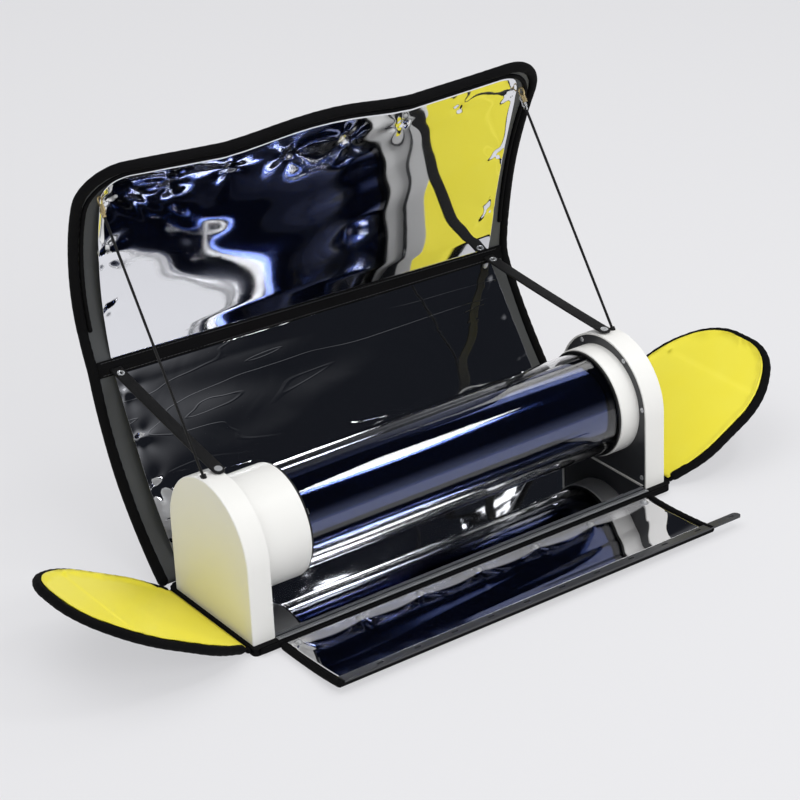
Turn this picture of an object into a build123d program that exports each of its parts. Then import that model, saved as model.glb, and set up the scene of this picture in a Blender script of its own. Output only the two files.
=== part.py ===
from build123d import *
import os
from math import asin, atan2, cos, hypot, radians, sin, sqrt, tan

os.makedirs("parts", exist_ok=True)

# Portable solar grill: a glass vacuum tube lies between two arched end housings on a fabric covered base.
# A two-part mirrored lid leans back behind the tube, a mirrored flap lies in front and an arched flap at each end.
# Millimetres. X runs along the tube, Y to the back, Z up. The origin is the centre of the base's underside.
LEFT, RIGHT = -1, 1
SIDES = {"left": LEFT, "right": RIGHT}

# Vacuum tube: two glass walls with a vacuum between them, closed by a dome at the left, open at the right
GLASS_R = 62.5
GLASS_WALL = 2.2
VACUUM_GAP = 7.1
DOME_GAP = 11.5
EXHAUST_TIP_R = 4.0
EXHAUST_TIP_LENGTH = 7.0
CLIP_THICKNESS = 0.8
CLIP_LEGS = 6
CLIP_LEG_WIDTH = 7.0
CLIP_RING_LENGTH = 12.0

# Base
CLEAR_LENGTH = 529.8  # between the inner faces of the two housings
BASE_THICKNESS = 9.0
BASE_FRONT_MARGIN = 8.0
BASE_BACK_MARGIN = 12.0
BASE_END_MARGIN = 3.3
BASE_CORNER_R = 6.0
PIPING_R = 3.6
PIPING_BITE = 1.4  # how far each edge piping sits in the board's edge
PIPING_LIFT = 2.0  # leaves room for the padded edges of a flap that lies flat
HINGE_CLEARANCE = 0.08

# End housings
PLATE_BORDER = 13.2  # from the collar's outside to the arch's outside
HOUSING_DEPTH = 28.8
HOUSING_WALL = 2.0
HOUSING_EDGE_R = 1.6
AXIS_HEIGHT = 92.0  # tube axis over the base's top
PLATE_THICKNESS = 1.5
PLATE_RECESS = 1.2
PLATE_FIT = 0.2
SCREW_R = 1.5
SCREW_HEAD_R = 3.1
SCREW_HEAD_HEIGHT = 1.6
SCREW_LENGTH = 5.0
BOLT_R = 2.0
BOLT_HEAD_R = 4.0
BOLT_HEAD_HEIGHT = 2.4
BOLT_SPACING_Y = 110.0
BOLT_FIT = 0.1

# Collars and seats of the tube
COLLAR_WALL = 4.0
COLLAR_FIT = 0.3
COLLAR_EDGE_R = 1.5
LEFT_COLLAR_LENGTH = 64.6
RIGHT_COLLAR_LENGTH = 25.1
GASKET_LENGTH = 2.6
GASKET_RISE = 2.8
CUSHION_R = 52.0
CUSHION_GRIP = 10.0
MOUTH_SEAT_THICKNESS = 8.0

# Food tray and the plug that carries it
TRAY_FIT = 0.8
TRAY_WALL = 0.8
TRAY_LIP = 12.0  # height of the tray's long edges over the tube axis
TRAY_END_GAP = 30.0  # from the tray's closed end to where the inner dome starts
PLUG_FIT = 1.2
PLUG_LENGTH = 36.0
PLUG_FLANGE_R = 54.5
PLUG_FLANGE_THICKNESS = 3.0
PLUG_DISH_R = 40.0
PLUG_DISH_DEPTH = 22.0
CORE_THICKNESS = 14.0
SEAL_R = 1.6
HANDLE_R = 5.0

# Trough mirror and zip on the base
TROUGH_THICKNESS = 0.8
TROUGH_LIP = 5.0
TROUGH_GAP = 1.0
ZIP_TAPE_THICKNESS = 0.8
ZIP_COIL_R = 1.3

# Lid: each segment bows outwards between its two edges, a little differently at the left and right
LID_LENGTH = 597.4
LID_THICKNESS = 4.0
MIRROR_THICKNESS = 0.8
BINDING_R = 5.5
BINDING_START = 13.0
LOWER_CHORD = {LEFT: 258.9, RIGHT: 245.3}
LOWER_LEAN = {LEFT: 28.8, RIGHT: 35.9}  # degrees back from upright
LOWER_BOW = {LEFT: 21.0, RIGHT: 12.0}
UPPER_RISE = {LEFT: 243.0, RIGHT: 271.0}
UPPER_REACH = {LEFT: 24.0, RIGHT: 88.0}  # how far the top comes forward of the fold
UPPER_BOW = {LEFT: 34.0, RIGHT: 17.0}
FOLD_R = 3.2
TOP_WAVE = 11.0
TOP_WAVE_LENGTH = 268.0
ARC_SHARE = 0.45  # how much of the shorter run a rounded corner takes up
LEAST_TURN = 0.5  # degrees; a corner that turns less is left out
LID_BORDER = 25.0
MIRROR_FOLD_MARGIN = 16.0
MIRROR_CORNER_R = 8.0
EYELET_R = 5.0
EYELET_HOLE_R = 2.4
EYELET_HEIGHT = 1.2
EYELET_INSET = 8.0
UPPER_EYELETS = 8
LOWER_EYELETS = 4

# Front flap
FLAP_LEFT_GAP = 0.4
FLAP_RIGHT_GAP = 7.0
FLAP_REACH = 118.0
FLAP_TIP_RISE = 5.0
FLAP_BOW = 2.4
FLAP_THICKNESS = 3.6
FLAP_BINDING_R = 4.2
FLAP_BINDING_LIFT = 0.8  # the front binding's middle stands this far above the cloth's
FLAP_MIRROR_BORDER = 6.0
FLAP_RIVETS = 7
FLAP_RIVET_R = 4.4
FLAP_RIVET_HEIGHT = 2.2
FLAP_RIVET_INSET = 13.0
BAR_WIDTH = 13.0
BAR_THICKNESS = 2.2
BAR_OVERHANG = 46.0
BAR_SLOT_LENGTH = 9.0
BAR_SLOT_WIDTH = 3.0
BAR_SLOT_PITCH = 50.0

# End flaps
END_FLAP_TILT = 28.0  # degrees up from the floor as it lies open
END_FLAP_HALF_WIDTH = 96.0
END_FLAP_NECK = 80.0  # half width at the hinge
END_FLAP_LENGTH = 216.0
END_FLAP_THICKNESS = 4.0
LINING_THICKNESS = 1.0
LINING_INSET = 3.0

# Stays that hold the open lid
STRAP_WIDTH = 15.0
STRAP_THICKNESS = 1.4
STRAP_SETBACK = {LEFT: 25.2, RIGHT: 18.7}  # from the housing's outer face
STRAP_FOOT_Y = 8.0
STRAP_LID_INSET = 27.0
STRAP_LIFT = 3.4  # from the housing's top to the middle of the strap
STRAP_RIVET_R = 3.0
STRAP_RIVET_HEAD_R = 4.6
STRAP_RIVET_HEIGHT = 1.0
STRAP_RIVET_INSET = 16.0  # from the fold's middle
CORD_R = 1.6
CORD_SETBACK = 6.0
CORD_TOP_INSET = 22.0
CORD_TOP_DROP = 34.0
ANCHOR_R = 3.4
ANCHOR_HEIGHT = 3.0
CLASP_R = 2.6
CLASP_LENGTH = 13.0
CLASP_RING_R = 5.0
CLASP_WIRE_R = 1.0

# Places worked out from the sizes above
AXIS_Z = BASE_THICKNESS + AXIS_HEIGHT
COLLAR_R = GLASS_R + COLLAR_FIT + COLLAR_WALL
ARCH_R = COLLAR_R + PLATE_BORDER
HOUSING_IN = CLEAR_LENGTH / 2
HOUSING_OUT = HOUSING_IN + HOUSING_DEPTH
BASE_END = HOUSING_OUT + BASE_END_MARGIN
BASE_FRONT = -ARCH_R - BASE_FRONT_MARGIN
BASE_BACK = ARCH_R + BASE_BACK_MARGIN
PIPING_Z = PIPING_R + PIPING_LIFT
HINGE_BACK = (BASE_BACK + PIPING_R - PIPING_BITE, PIPING_Z)
HINGE_FRONT = (BASE_FRONT - PIPING_R + PIPING_BITE, PIPING_Z)
HINGE_END = BASE_END + PIPING_R - PIPING_BITE
PLATE_OUT = HOUSING_IN + PLATE_RECESS
MOUTH_X = HOUSING_OUT - HOUSING_WALL - MOUTH_SEAT_THICKNESS
INNER_R = GLASS_R - GLASS_WALL - VACUUM_GAP
BORE_R = INNER_R - GLASS_WALL
DOME_X = -HOUSING_IN + LEFT_COLLAR_LENGTH - CUSHION_GRIP
INNER_DOME_X = DOME_X + DOME_GAP - VACUUM_GAP
PLUG_R = BORE_R - PLUG_FIT
PLUG_IN = HOUSING_OUT - PLUG_LENGTH
HOUSING_TOP = AXIS_Z + ARCH_R


def across(x):
    """Plane square to the tube at x, with its origin on the tube's axis and its own axes along Y and Z."""
    return Plane(origin=(x, 0, AXIS_Z), x_dir=(0, 1, 0), z_dir=(1, 0, 0))


def disc(x0, x1, r):
    """Round solid on the tube's axis from x0 to x1."""
    return extrude(across(min(x0, x1)) * Circle(r), abs(x1 - x0))


def ring(x0, x1, r_in, r_out):
    """Round sleeve on the tube's axis from x0 to x1."""
    return disc(x0, x1, r_out) - disc(x0, x1, r_in)


def rod(start, end, r):
    """Round bar between two points."""
    start, end = Vector(*start), Vector(*end)
    return extrude(Plane(origin=start, z_dir=end - start) * Circle(r), (end - start).length)


def box(x0, x1, y0, y1, z0, z1):
    """Block between two corners."""
    return Pos((x0 + x1) / 2, (y0 + y1) / 2, (z0 + z1) / 2) * Box(abs(x1 - x0), abs(y1 - y0), abs(z1 - z0))


def group(solids):
    """One node made of several separate solids."""
    return Compound(children=[s for item in solids for s in item.solids()])


class Bow:
    """Arc from a start to an end point (y, z), with its middle pushed away from the tube by rise."""

    def __init__(self, start, end, rise):
        chord = hypot(end[0] - start[0], end[1] - start[1])
        along = ((end[0] - start[0]) / chord, (end[1] - start[1]) / chord)
        out = (along[1], -along[0])
        self.radius = (chord**2 / 4 + rise**2) / (2 * rise)
        reach = self.radius - rise
        self.centre = (
            (start[0] + end[0]) / 2 - out[0] * reach,
            (start[1] + end[1]) / 2 - out[1] * reach,
        )
        half = asin(chord / 2 / self.radius)
        middle = atan2(out[1], out[0])
        self.first, self.last = middle - half, middle + half

    def point(self, share, inwards=0.0):
        """Point (y, z) at a share of the arc, moved towards the tube by inwards."""
        angle = self.first + (self.last - self.first) * share
        r = self.radius - inwards
        return (self.centre[0] + r * cos(angle), self.centre[1] + r * sin(angle))

    def y_at(self, z, inwards=0.0):
        """Y of the arc at a height z."""
        r = self.radius - inwards
        return self.centre[0] + sqrt(r**2 - (z - self.centre[1]) ** 2)


def between(low, high, x):
    """Value at x, where it is low at the lid's left edge and high at its right edge."""
    share = x / LID_LENGTH + 0.5
    return low + (high - low) * share


def fold_point(x):
    """The fold between the lid's two segments at x, as (y, z)."""
    ends = [
        (
            HINGE_BACK[0] + LOWER_CHORD[s] * sin(radians(LOWER_LEAN[s])),
            HINGE_BACK[1] + LOWER_CHORD[s] * cos(radians(LOWER_LEAN[s])),
        )
        for s in (LEFT, RIGHT)
    ]
    return tuple(between(ends[0][k], ends[1][k], x) for k in (0, 1))


def lower_bow(x):
    """Section of the lid's lower segment at x."""
    return Bow(HINGE_BACK, fold_point(x), between(LOWER_BOW[LEFT], LOWER_BOW[RIGHT], x))


def upper_bow(x):
    """Section of the lid's upper segment at x."""
    y, z = fold_point(x)
    top = (
        y - between(UPPER_REACH[LEFT], UPPER_REACH[RIGHT], x),
        z + between(UPPER_RISE[LEFT], UPPER_RISE[RIGHT], x),
    )
    return Bow((y, z), top, between(UPPER_BOW[LEFT], UPPER_BOW[RIGHT], x))


def flap_bow(x):
    """Section of the front flap, which lies on the floor and rises a little at its edge."""
    tip = (HINGE_FRONT[0] - FLAP_REACH, HINGE_FRONT[1] + FLAP_TIP_RISE)
    return Bow(tip, HINGE_FRONT, FLAP_BOW)


def strip(bow, x0, x1, low, high, first=0.0, last=1.0):
    """Curved sheet between the sections at x0 and x1, from low to high towards the tube."""
    faces = []
    for x in (x0, x1):
        section = bow(x)
        shares = (first, (first + last) / 2, last)
        outer = [(x, *section.point(s, low)) for s in shares]
        inner = [(x, *section.point(s, high)) for s in shares]
        edges = [
            ThreePointArc(*outer),
            Line(outer[2], inner[2]),
            ThreePointArc(*reversed(inner)),
            Line(inner[0], outer[0]),
        ]
        faces.append(Face(Wire(edges)))
    return Solid.make_loft([f.outer_wire() for f in faces], ruled=True)


def prism_y(outline, y0, y1):
    """Solid that stands on a closed outline of (x, z) edges and runs from y0 forward to y1."""
    return extrude(Plane(origin=(0, y0, 0), x_dir=(1, 0, 0), z_dir=(0, -1, 0)) * outline, y0 - y1)


def fold_axis(overrun=0.0):
    """The two ends of the fold's axis."""
    half = LID_LENGTH / 2 - BINDING_R + overrun
    return (-half, *fold_point(-half)), (half, *fold_point(half))


def arch(x, inset, depth):
    """Solid with the housing's arched outline, drawn in by inset, from x over depth."""
    r = ARCH_R - inset
    foot = BASE_THICKNESS - AXIS_Z + inset
    outline = [
        Line((-r, foot), (r, foot)),
        Line((r, foot), (r, 0)),
        ThreePointArc((r, 0), (0, r), (-r, 0)),
        Line((-r, 0), (-r, foot)),
    ]
    return extrude(across(x) * make_face(outline), depth)


def bolt_places(side):
    """Centres of the two bolts that hold a housing to the base."""
    x = side * (HOUSING_IN + HOUSING_DEPTH * 0.6)
    return [(x, y) for y in (-BOLT_SPACING_Y / 2, BOLT_SPACING_Y / 2)]


def base_board():
    """Board in its fabric skin, grooved along its four edges for the piping."""
    board = box(-BASE_END, BASE_END, BASE_FRONT, BASE_BACK, 0, BASE_THICKNESS)
    board = fillet(board.edges().filter_by(Axis.Z), BASE_CORNER_R)
    for place in (HINGE_FRONT, HINGE_BACK):
        board -= rod((-HINGE_END * 2, *place), (HINGE_END * 2, *place), PIPING_R + HINGE_CLEARANCE)
    for side in (LEFT, RIGHT):
        groove = ((side * HINGE_END, 2 * BASE_FRONT, PIPING_Z), (side * HINGE_END, 2 * BASE_BACK, PIPING_Z))
        board -= rod(*groove, PIPING_R + HINGE_CLEARANCE)
        for x, y in bolt_places(side):
            board -= rod((x, y, -1), (x, y, BASE_THICKNESS + 1), BOLT_R + BOLT_FIT)
            board -= rod((x, y, -1), (x, y, BOLT_HEAD_HEIGHT + 0.6), BOLT_HEAD_R + BOLT_FIT)
    return board


def long_piping(place):
    """Rolled edge along the base's front or back, which is also that flap's hinge."""
    half = BASE_END - BASE_CORNER_R
    return rod((-half, *place), (half, *place), PIPING_R)


def end_piping(side):
    """Rolled edge along one end of the base, which is also the end flap's hinge."""
    x = side * HINGE_END
    front, back = BASE_FRONT + BASE_CORNER_R, BASE_BACK - BASE_CORNER_R
    return rod((x, front, PIPING_Z), (x, back, PIPING_Z), PIPING_R)


def base_bolts():
    """Countersunk bolts from below into the housings' floors."""
    bolts = []
    for side in (LEFT, RIGHT):
        for x, y in bolt_places(side):
            head = rod((x, y, 0.6), (x, y, 0.6 + BOLT_HEAD_HEIGHT), BOLT_HEAD_R)
            shank = rod((x, y, 0.6), (x, y, BASE_THICKNESS + HOUSING_WALL + 2), BOLT_R)
            bolts.append(head + shank)
    return group(bolts)


def trough_mirror():
    """Polished sheet under the tube, with a folded lip along the front and the back."""
    half, t = ARCH_R - TROUGH_GAP, TROUGH_THICKNESS
    z = BASE_THICKNESS
    profile = Polyline(
        (-half, z), (half, z), (half, z + TROUGH_LIP), (half - t, z + TROUGH_LIP), (half - t, z + t),
        (t - half, z + t), (t - half, z + TROUGH_LIP), (-half, z + TROUGH_LIP), close=True,
    )
    length = CLEAR_LENGTH - 2 * TROUGH_GAP
    plane = Plane(origin=(-length / 2, 0, 0), x_dir=(0, 1, 0), z_dir=(1, 0, 0))
    return extrude(plane * make_face(profile), length)


def front_zip():
    """Zip along the base's front edge: a tape with the closed coil standing on it."""
    y0, y1 = BASE_FRONT + PIPING_BITE, -ARCH_R
    z = BASE_THICKNESS
    half = HOUSING_IN - TROUGH_GAP
    tape = box(-half, half, y0, y1, z, z + ZIP_TAPE_THICKNESS)
    middle = ((y0 + y1) / 2, z + ZIP_TAPE_THICKNESS)
    coil = rod((-half, *middle), (half, *middle), ZIP_COIL_R)
    return tape + (coil & box(-half, half, y0, y1, z, z + 4 * ZIP_COIL_R))


def housing_block(side):
    """Solid of a housing's full outside shape."""
    return arch(min(side * HOUSING_IN, side * HOUSING_OUT), 0, HOUSING_DEPTH)


def housing_shell(side):
    """Arched casing, open towards the tube. The right one has the round mouth that the tray goes through."""
    start = min(side * HOUSING_IN, side * HOUSING_OUT)
    body = housing_block(side)
    outer_face = body.faces().sort_by(Axis.X)[-1 if side == RIGHT else 0]
    body = fillet(outer_face.edges(), HOUSING_EDGE_R)
    hollow_start = start + (HOUSING_WALL if side == LEFT else -1)
    body -= arch(hollow_start, HOUSING_WALL, HOUSING_DEPTH - HOUSING_WALL + 1)
    for x, y in bolt_places(side):
        body -= rod((x, y, 0), (x, y, AXIS_Z / 3), BOLT_R + BOLT_FIT)
    if side == RIGHT:
        body -= disc(HOUSING_IN, HOUSING_OUT + 1, BORE_R + 1)
    return body


def plate_screw_places():
    """Where the side plate's screws sit, as (y, height over the tube axis)."""
    r = (COLLAR_R + ARCH_R) / 2
    round_ones = [(r * cos(radians(a)), r * sin(radians(a))) for a in (8, 58, 122, 172)]
    low = BASE_THICKNESS - AXIS_Z + HOUSING_WALL + 3 * SCREW_HEAD_R
    return round_ones + [(y, low) for y in (-r + 2, r - 2)]


def side_plate(side):
    """Dark plate that closes the casing towards the tube, with the tube's hole and its screw holes."""
    x = side * PLATE_OUT
    start = min(x, x + side * PLATE_THICKNESS)
    plate = arch(start, HOUSING_WALL + PLATE_FIT, PLATE_THICKNESS)
    plate -= disc(start - 1, start + PLATE_THICKNESS + 1, GLASS_R + COLLAR_FIT)
    for y, h in plate_screw_places():
        plate -= rod((x - 5, y, AXIS_Z + h), (x + 5, y, AXIS_Z + h), SCREW_R)
    return plate


def plate_rim(side):
    """Seat inside the casing that the side plate is screwed to."""
    x = side * (PLATE_OUT + PLATE_THICKNESS)
    start = min(x, x + side * 2)
    seat = arch(start, HOUSING_WALL, 2) - disc(start - 1, start + 3, COLLAR_R)
    for y, h in plate_screw_places():
        seat -= rod((x - 5, y, AXIS_Z + h), (x + 5, y, AXIS_Z + h), SCREW_R)
    return seat


def plate_screws():
    """Pan head screws of both side plates."""
    screws = []
    for side in (LEFT, RIGHT):
        x = side * PLATE_OUT
        for y, h in plate_screw_places():
            z = AXIS_Z + h
            head = rod((x, y, z), (x - side * SCREW_HEAD_HEIGHT, y, z), SCREW_HEAD_R)
            screws.append(head + rod((x, y, z), (x + side * SCREW_LENGTH, y, z), SCREW_R))
    return group(screws)


def collar(side, length):
    """White sleeve round the tube where it enters a housing."""
    foot, end = side * PLATE_OUT, side * (HOUSING_IN - length)
    sleeve = ring(foot, end, GLASS_R + COLLAR_FIT, COLLAR_R)
    rim = sleeve.faces().sort_by(Axis.X)[0 if side == RIGHT else -1].edges().sort_by(SortBy.LENGTH)[-1]
    return fillet(rim, COLLAR_EDGE_R)


def gasket(side, length):
    """Rubber lip between a collar's end and the glass."""
    end = side * (HOUSING_IN - length)
    return ring(end, end - side * GASKET_LENGTH, GLASS_R, GLASS_R + GASKET_RISE)


def glass_sleeve(dome_x, mouth_x, r, tip=0.0):
    """Glass tube with a domed left end and an open right end."""
    inner, bend = r - GLASS_WALL, sqrt(0.5)
    outline = [
        Line((mouth_x, r), (dome_x, r)),
        ThreePointArc((dome_x, r), (dome_x - r * bend, r * bend), (dome_x - r, 0)),
        Line((dome_x - r, 0), (dome_x - inner, 0)),
        ThreePointArc((dome_x - inner, 0), (dome_x - inner * bend, inner * bend), (dome_x, inner)),
        Line((dome_x, inner), (mouth_x, inner)),
        Line((mouth_x, inner), (mouth_x, r)),
    ]
    plane = Plane(origin=(0, 0, AXIS_Z), x_dir=(1, 0, 0), z_dir=(0, -1, 0))
    sleeve = revolve(plane * make_face(outline), Axis((0, 0, AXIS_Z), (1, 0, 0)), 360)
    if tip:
        sleeve += disc(dome_x - r - tip, dome_x - r + GLASS_WALL / 2, EXHAUST_TIP_R)
    return sleeve


def glass_outer():
    """Clear outer wall with the ring at the mouth that joins it to the inner wall."""
    lip = ring(MOUTH_X - GLASS_WALL, MOUTH_X, BORE_R, GLASS_R - GLASS_WALL / 2)
    return glass_sleeve(DOME_X, MOUTH_X, GLASS_R, EXHAUST_TIP_LENGTH) + lip


def glass_inner():
    """Coated inner wall, which takes up the sun's heat."""
    return glass_sleeve(INNER_DOME_X, MOUTH_X - GLASS_WALL, INNER_R)


def end_clip():
    """Spring clip that keeps the inner wall's closed end centred in the outer one."""
    start = INNER_DOME_X
    band = ring(start, start + CLIP_RING_LENGTH, INNER_R, INNER_R + CLIP_THICKNESS)
    reach = GLASS_R - GLASS_WALL
    for k in range(CLIP_LEGS):
        leg = box(
            start, start + CLIP_RING_LENGTH, -CLIP_LEG_WIDTH / 2, CLIP_LEG_WIDTH / 2,
            AXIS_Z + INNER_R, AXIS_Z + reach,
        )
        hollow = box(
            start - 1, start + CLIP_RING_LENGTH - CLIP_THICKNESS, -CLIP_LEG_WIDTH, CLIP_LEG_WIDTH,
            AXIS_Z + INNER_R + CLIP_THICKNESS, AXIS_Z + reach - CLIP_THICKNESS,
        )
        leg = (leg - hollow) & ring(start, start + CLIP_RING_LENGTH, INNER_R, reach)
        band += leg.rotate(Axis((0, 0, AXIS_Z), (1, 0, 0)), 360 / CLIP_LEGS * k)
    return band


def dome_cushion():
    """Rubber cup in the left housing that the tube's closed end sits in."""
    x = -HOUSING_OUT + HOUSING_WALL
    cup = disc(x, DOME_X - GLASS_R + CUSHION_GRIP, CUSHION_R)
    cup -= Pos(DOME_X, 0, AXIS_Z) * Sphere(GLASS_R)
    return cup - disc(x - 1, DOME_X, EXHAUST_TIP_R + 1)


def mouth_seat():
    """Foam ring between the tube's mouth and the right housing's end wall."""
    return ring(MOUTH_X, MOUTH_X + MOUTH_SEAT_THICKNESS, BORE_R + 1, GLASS_R + COLLAR_FIT)


def tray_plug():
    """Plug with a dished outer face, which closes the tube's mouth and carries the tray."""
    body = disc(PLUG_IN + CORE_THICKNESS, HOUSING_OUT, PLUG_R)
    flange = disc(HOUSING_OUT, HOUSING_OUT + PLUG_FLANGE_THICKNESS, PLUG_FLANGE_R)
    flange = fillet(flange.faces().sort_by(Axis.X)[-1].edges(), PLUG_FLANGE_THICKNESS * 0.4)
    face = HOUSING_OUT + PLUG_FLANGE_THICKNESS
    dish = disc(face - PLUG_DISH_DEPTH, face + 1, PLUG_DISH_R)
    dish = fillet(dish.faces().sort_by(Axis.X)[0].edges(), PLUG_DISH_DEPTH / 4)
    plug = body + flange - dish
    x = PLUG_IN + CORE_THICKNESS + (PLUG_LENGTH - CORE_THICKNESS) / 6
    groove = Pos(x, 0, AXIS_Z) * Rot(0, 90, 0) * Torus(BORE_R - SEAL_R - HINGE_CLEARANCE, SEAL_R)
    return plug - groove


def plug_seal():
    """Silicone ring in the plug's groove, which rubs in the tube's bore."""
    x = PLUG_IN + CORE_THICKNESS + (PLUG_LENGTH - CORE_THICKNESS) / 6
    return Pos(x, 0, AXIS_Z) * Rot(0, 90, 0) * Torus(BORE_R - SEAL_R - HINGE_CLEARANCE, SEAL_R)


def plug_core():
    """Insulating disc on the plug's inner face."""
    return disc(PLUG_IN, PLUG_IN + CORE_THICKNESS, PLUG_R)


def tray_handle():
    """Round bar across the dish, which the fingers close on."""
    x = HOUSING_OUT + PLUG_FLANGE_THICKNESS - HANDLE_R - 1
    bar = rod((x, -PLUG_DISH_R - 2, AXIS_Z), (x, PLUG_DISH_R + 2, AXIS_Z), HANDLE_R)
    return bar & disc(x - 2 * HANDLE_R, x + 2 * HANDLE_R, PLUG_DISH_R)


def food_tray():
    """Half-round steel trough that slides in the tube, closed at its left end."""
    r = BORE_R - TRAY_FIT
    start = INNER_DOME_X + TRAY_END_GAP
    outer = disc(start, PLUG_IN, r)
    outer -= disc(start + TRAY_WALL, PLUG_IN + 1, r - TRAY_WALL)
    return outer & box(start - 1, PLUG_IN + 1, -2 * r, 2 * r, AXIS_Z - 2 * r, AXIS_Z + TRAY_LIP)


def lower_panel():
    """Stiffened fabric panel of the lid's lower segment."""
    t = LID_THICKNESS / 2
    panel = strip(lower_bow, -LID_LENGTH / 2, LID_LENGTH / 2, -t, t)
    panel -= rod((-LID_LENGTH, *HINGE_BACK), (LID_LENGTH, *HINGE_BACK), PIPING_R)
    panel -= rod(*fold_axis(LID_BORDER), FOLD_R)
    return panel


def lower_outline(inset):
    """Outline (x, z) of what is sewn on the lower segment, drawn in from its edges."""
    half = LID_LENGTH / 2 - inset
    low = BASE_THICKNESS + MIRROR_FOLD_MARGIN
    tops = [fold_point(x)[1] - MIRROR_FOLD_MARGIN for x in (-half, half)]
    corners = Polyline((-half, low), (half, low), (half, tops[1]), (-half, tops[0]), close=True)
    face = make_face(corners)
    return fillet(face.vertices(), MIRROR_CORNER_R)


def lid_sheet(bow, outline, last):
    """Mirror film on a lid segment, cut to an outline of (x, z)."""
    t = LID_THICKNESS / 2
    sheet = strip(bow, -LID_LENGTH / 2, LID_LENGTH / 2, t, t + MIRROR_THICKNESS, 0, last)
    return sheet & prism_y(outline, 2 * HINGE_BACK[0] + LOWER_CHORD[LEFT], 0)


def side_binding(side):
    """Padded edge of the lower segment, along one of its sides."""
    x = side * LID_LENGTH / 2
    bow = lower_bow(x)
    length = bow.radius * (bow.last - bow.first)
    first, last = BINDING_START / length, 1 - BINDING_START / length
    path = ThreePointArc(*[(x, *bow.point(s)) for s in (first, (first + last) / 2, last)])
    tube = sweep(Plane(origin=path @ 0, z_dir=path % 0) * Circle(BINDING_R), path=path)
    return tube - lower_panel()


def rounded_line(points):
    """Straight runs joined by tangent arcs, each as large as its two runs allow."""
    points = [Vector(*p) for p in points]
    turns = [(b - a).get_angle(c - b) for a, b, c in zip(points, points[1:], points[2:])]
    bends = [p for p, turn in zip(points[1:-1], turns) if turn > LEAST_TURN]
    points = [points[0], *bends, points[-1]]
    radii = []
    for before, corner, after in zip(points, points[1:], points[2:]):
        turn = radians((corner - before).get_angle(after - corner))
        run = min((corner - before).length, (after - corner).length)
        radii.append(ARC_SHARE * run / tan(turn / 2))
    return FilletPolyline(*points, radius=radii)


def top_height():
    """Mean height of the lid's wavy top edge."""
    return sum(fold_point(s * LID_LENGTH / 2)[1] + UPPER_RISE[s] for s in (LEFT, RIGHT)) / 2


def upper_points(inset, start):
    """Corners (x, z) up the left side, over the wavy top and down the right side of the upper segment."""
    half = LID_LENGTH / 2 - inset
    top = top_height() - inset
    sides = []
    for x in (-half, half):
        low = fold_point(x)[1] + start
        sides.append([(x, low), (x, low + (top - low) * 0.45), (x, top + TOP_WAVE)])
    waves = [(-TOP_WAVE_LENGTH / 2, top - TOP_WAVE), (0, top + TOP_WAVE), (TOP_WAVE_LENGTH / 2, top - TOP_WAVE)]
    return sides[0] + waves + sides[1][::-1]


def upper_outline(inset, start):
    """Closed outline (x, z) of what is sewn on the upper segment."""
    points = upper_points(inset, start)
    return make_face([rounded_line(points), Line(points[-1], points[0])])


def upper_panel():
    """Stiffened fabric panel of the lid's upper segment, grooved to turn on the fold."""
    t = LID_THICKNESS / 2
    panel = strip(upper_bow, -LID_LENGTH / 2, LID_LENGTH / 2, -t, t, 0, 1.1)
    outline = upper_outline(0, -4 * FOLD_R)
    panel = panel & prism_y(outline, 2 * HINGE_BACK[0] + LOWER_CHORD[LEFT], 0)
    return panel - rod(*fold_axis(LID_BORDER), FOLD_R + HINGE_CLEARANCE)


def upper_binding(panel):
    """Padded edge round the upper segment's sides and wavy top."""
    points = upper_points(0, BINDING_START)
    path = rounded_line([(x, upper_bow(x).y_at(z), z) for x, z in points])
    tube = sweep(Plane(origin=path @ 0, z_dir=path % 0) * Circle(BINDING_R), path=path)
    return tube - panel


def fold_roll():
    """Rolled seam between the lid's two segments, which the upper one turns on."""
    return rod(*fold_axis(), FOLD_R)


def eyelet(bow, x, z):
    """Eyelet through the mirror film at x and z, square to the film."""
    lift = LID_THICKNESS / 2 + MIRROR_THICKNESS
    section = bow(x)
    y = section.y_at(z, lift)
    seat = Vector(x, y, z)
    inward = Vector(0, section.centre[0] - y, section.centre[1] - z).normalized()
    plane = Plane(origin=seat - inward * 0.2, z_dir=inward)
    return extrude(plane * (Circle(EYELET_R) - Circle(EYELET_HOLE_R)), EYELET_HEIGHT + 0.2)


def upper_eyelets(mirror):
    """Eyelets that hold the upper mirror film along its top and sides."""
    inset = LID_BORDER + EYELET_INSET
    half = LID_LENGTH / 2 - inset
    places = []
    for k in range(UPPER_EYELETS):
        x = -half + 2 * half * k / (UPPER_EYELETS - 1)
        places.append((x, top_height() - inset))
    for side in (LEFT, RIGHT):
        low, high = fold_point(side * half)[1] + MIRROR_FOLD_MARGIN, top_height() - inset
        places += [(side * half, low + (high - low) * share) for share in (0.25, 0.62)]
    return group([eyelet(upper_bow, x, z) - mirror for x, z in places])


def lower_eyelets(mirror):
    """Eyelets that hold the lower mirror film along its sides."""
    half = LID_LENGTH / 2 - LID_BORDER - EYELET_INSET
    places = []
    for side in (LEFT, RIGHT):
        low, high = BASE_THICKNESS + 2 * MIRROR_FOLD_MARGIN, fold_point(side * half)[1] - 2 * MIRROR_FOLD_MARGIN
        count = LOWER_EYELETS
        places += [(side * half, low + (high - low) * k / (count - 1)) for k in range(count)]
    return group([eyelet(lower_bow, x, z) - mirror for x, z in places])


def flap_ends():
    """The front flap's left and right edges."""
    return -HOUSING_IN + FLAP_LEFT_GAP, HOUSING_IN - FLAP_RIGHT_GAP


def flap_panel():
    """Stiffened fabric panel of the front flap."""
    x0, x1 = flap_ends()
    t = FLAP_THICKNESS / 2
    panel = strip(flap_bow, x0, x1, -t, t)
    return panel - rod((-LID_LENGTH, *HINGE_FRONT), (LID_LENGTH, *HINGE_FRONT), PIPING_R)


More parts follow.
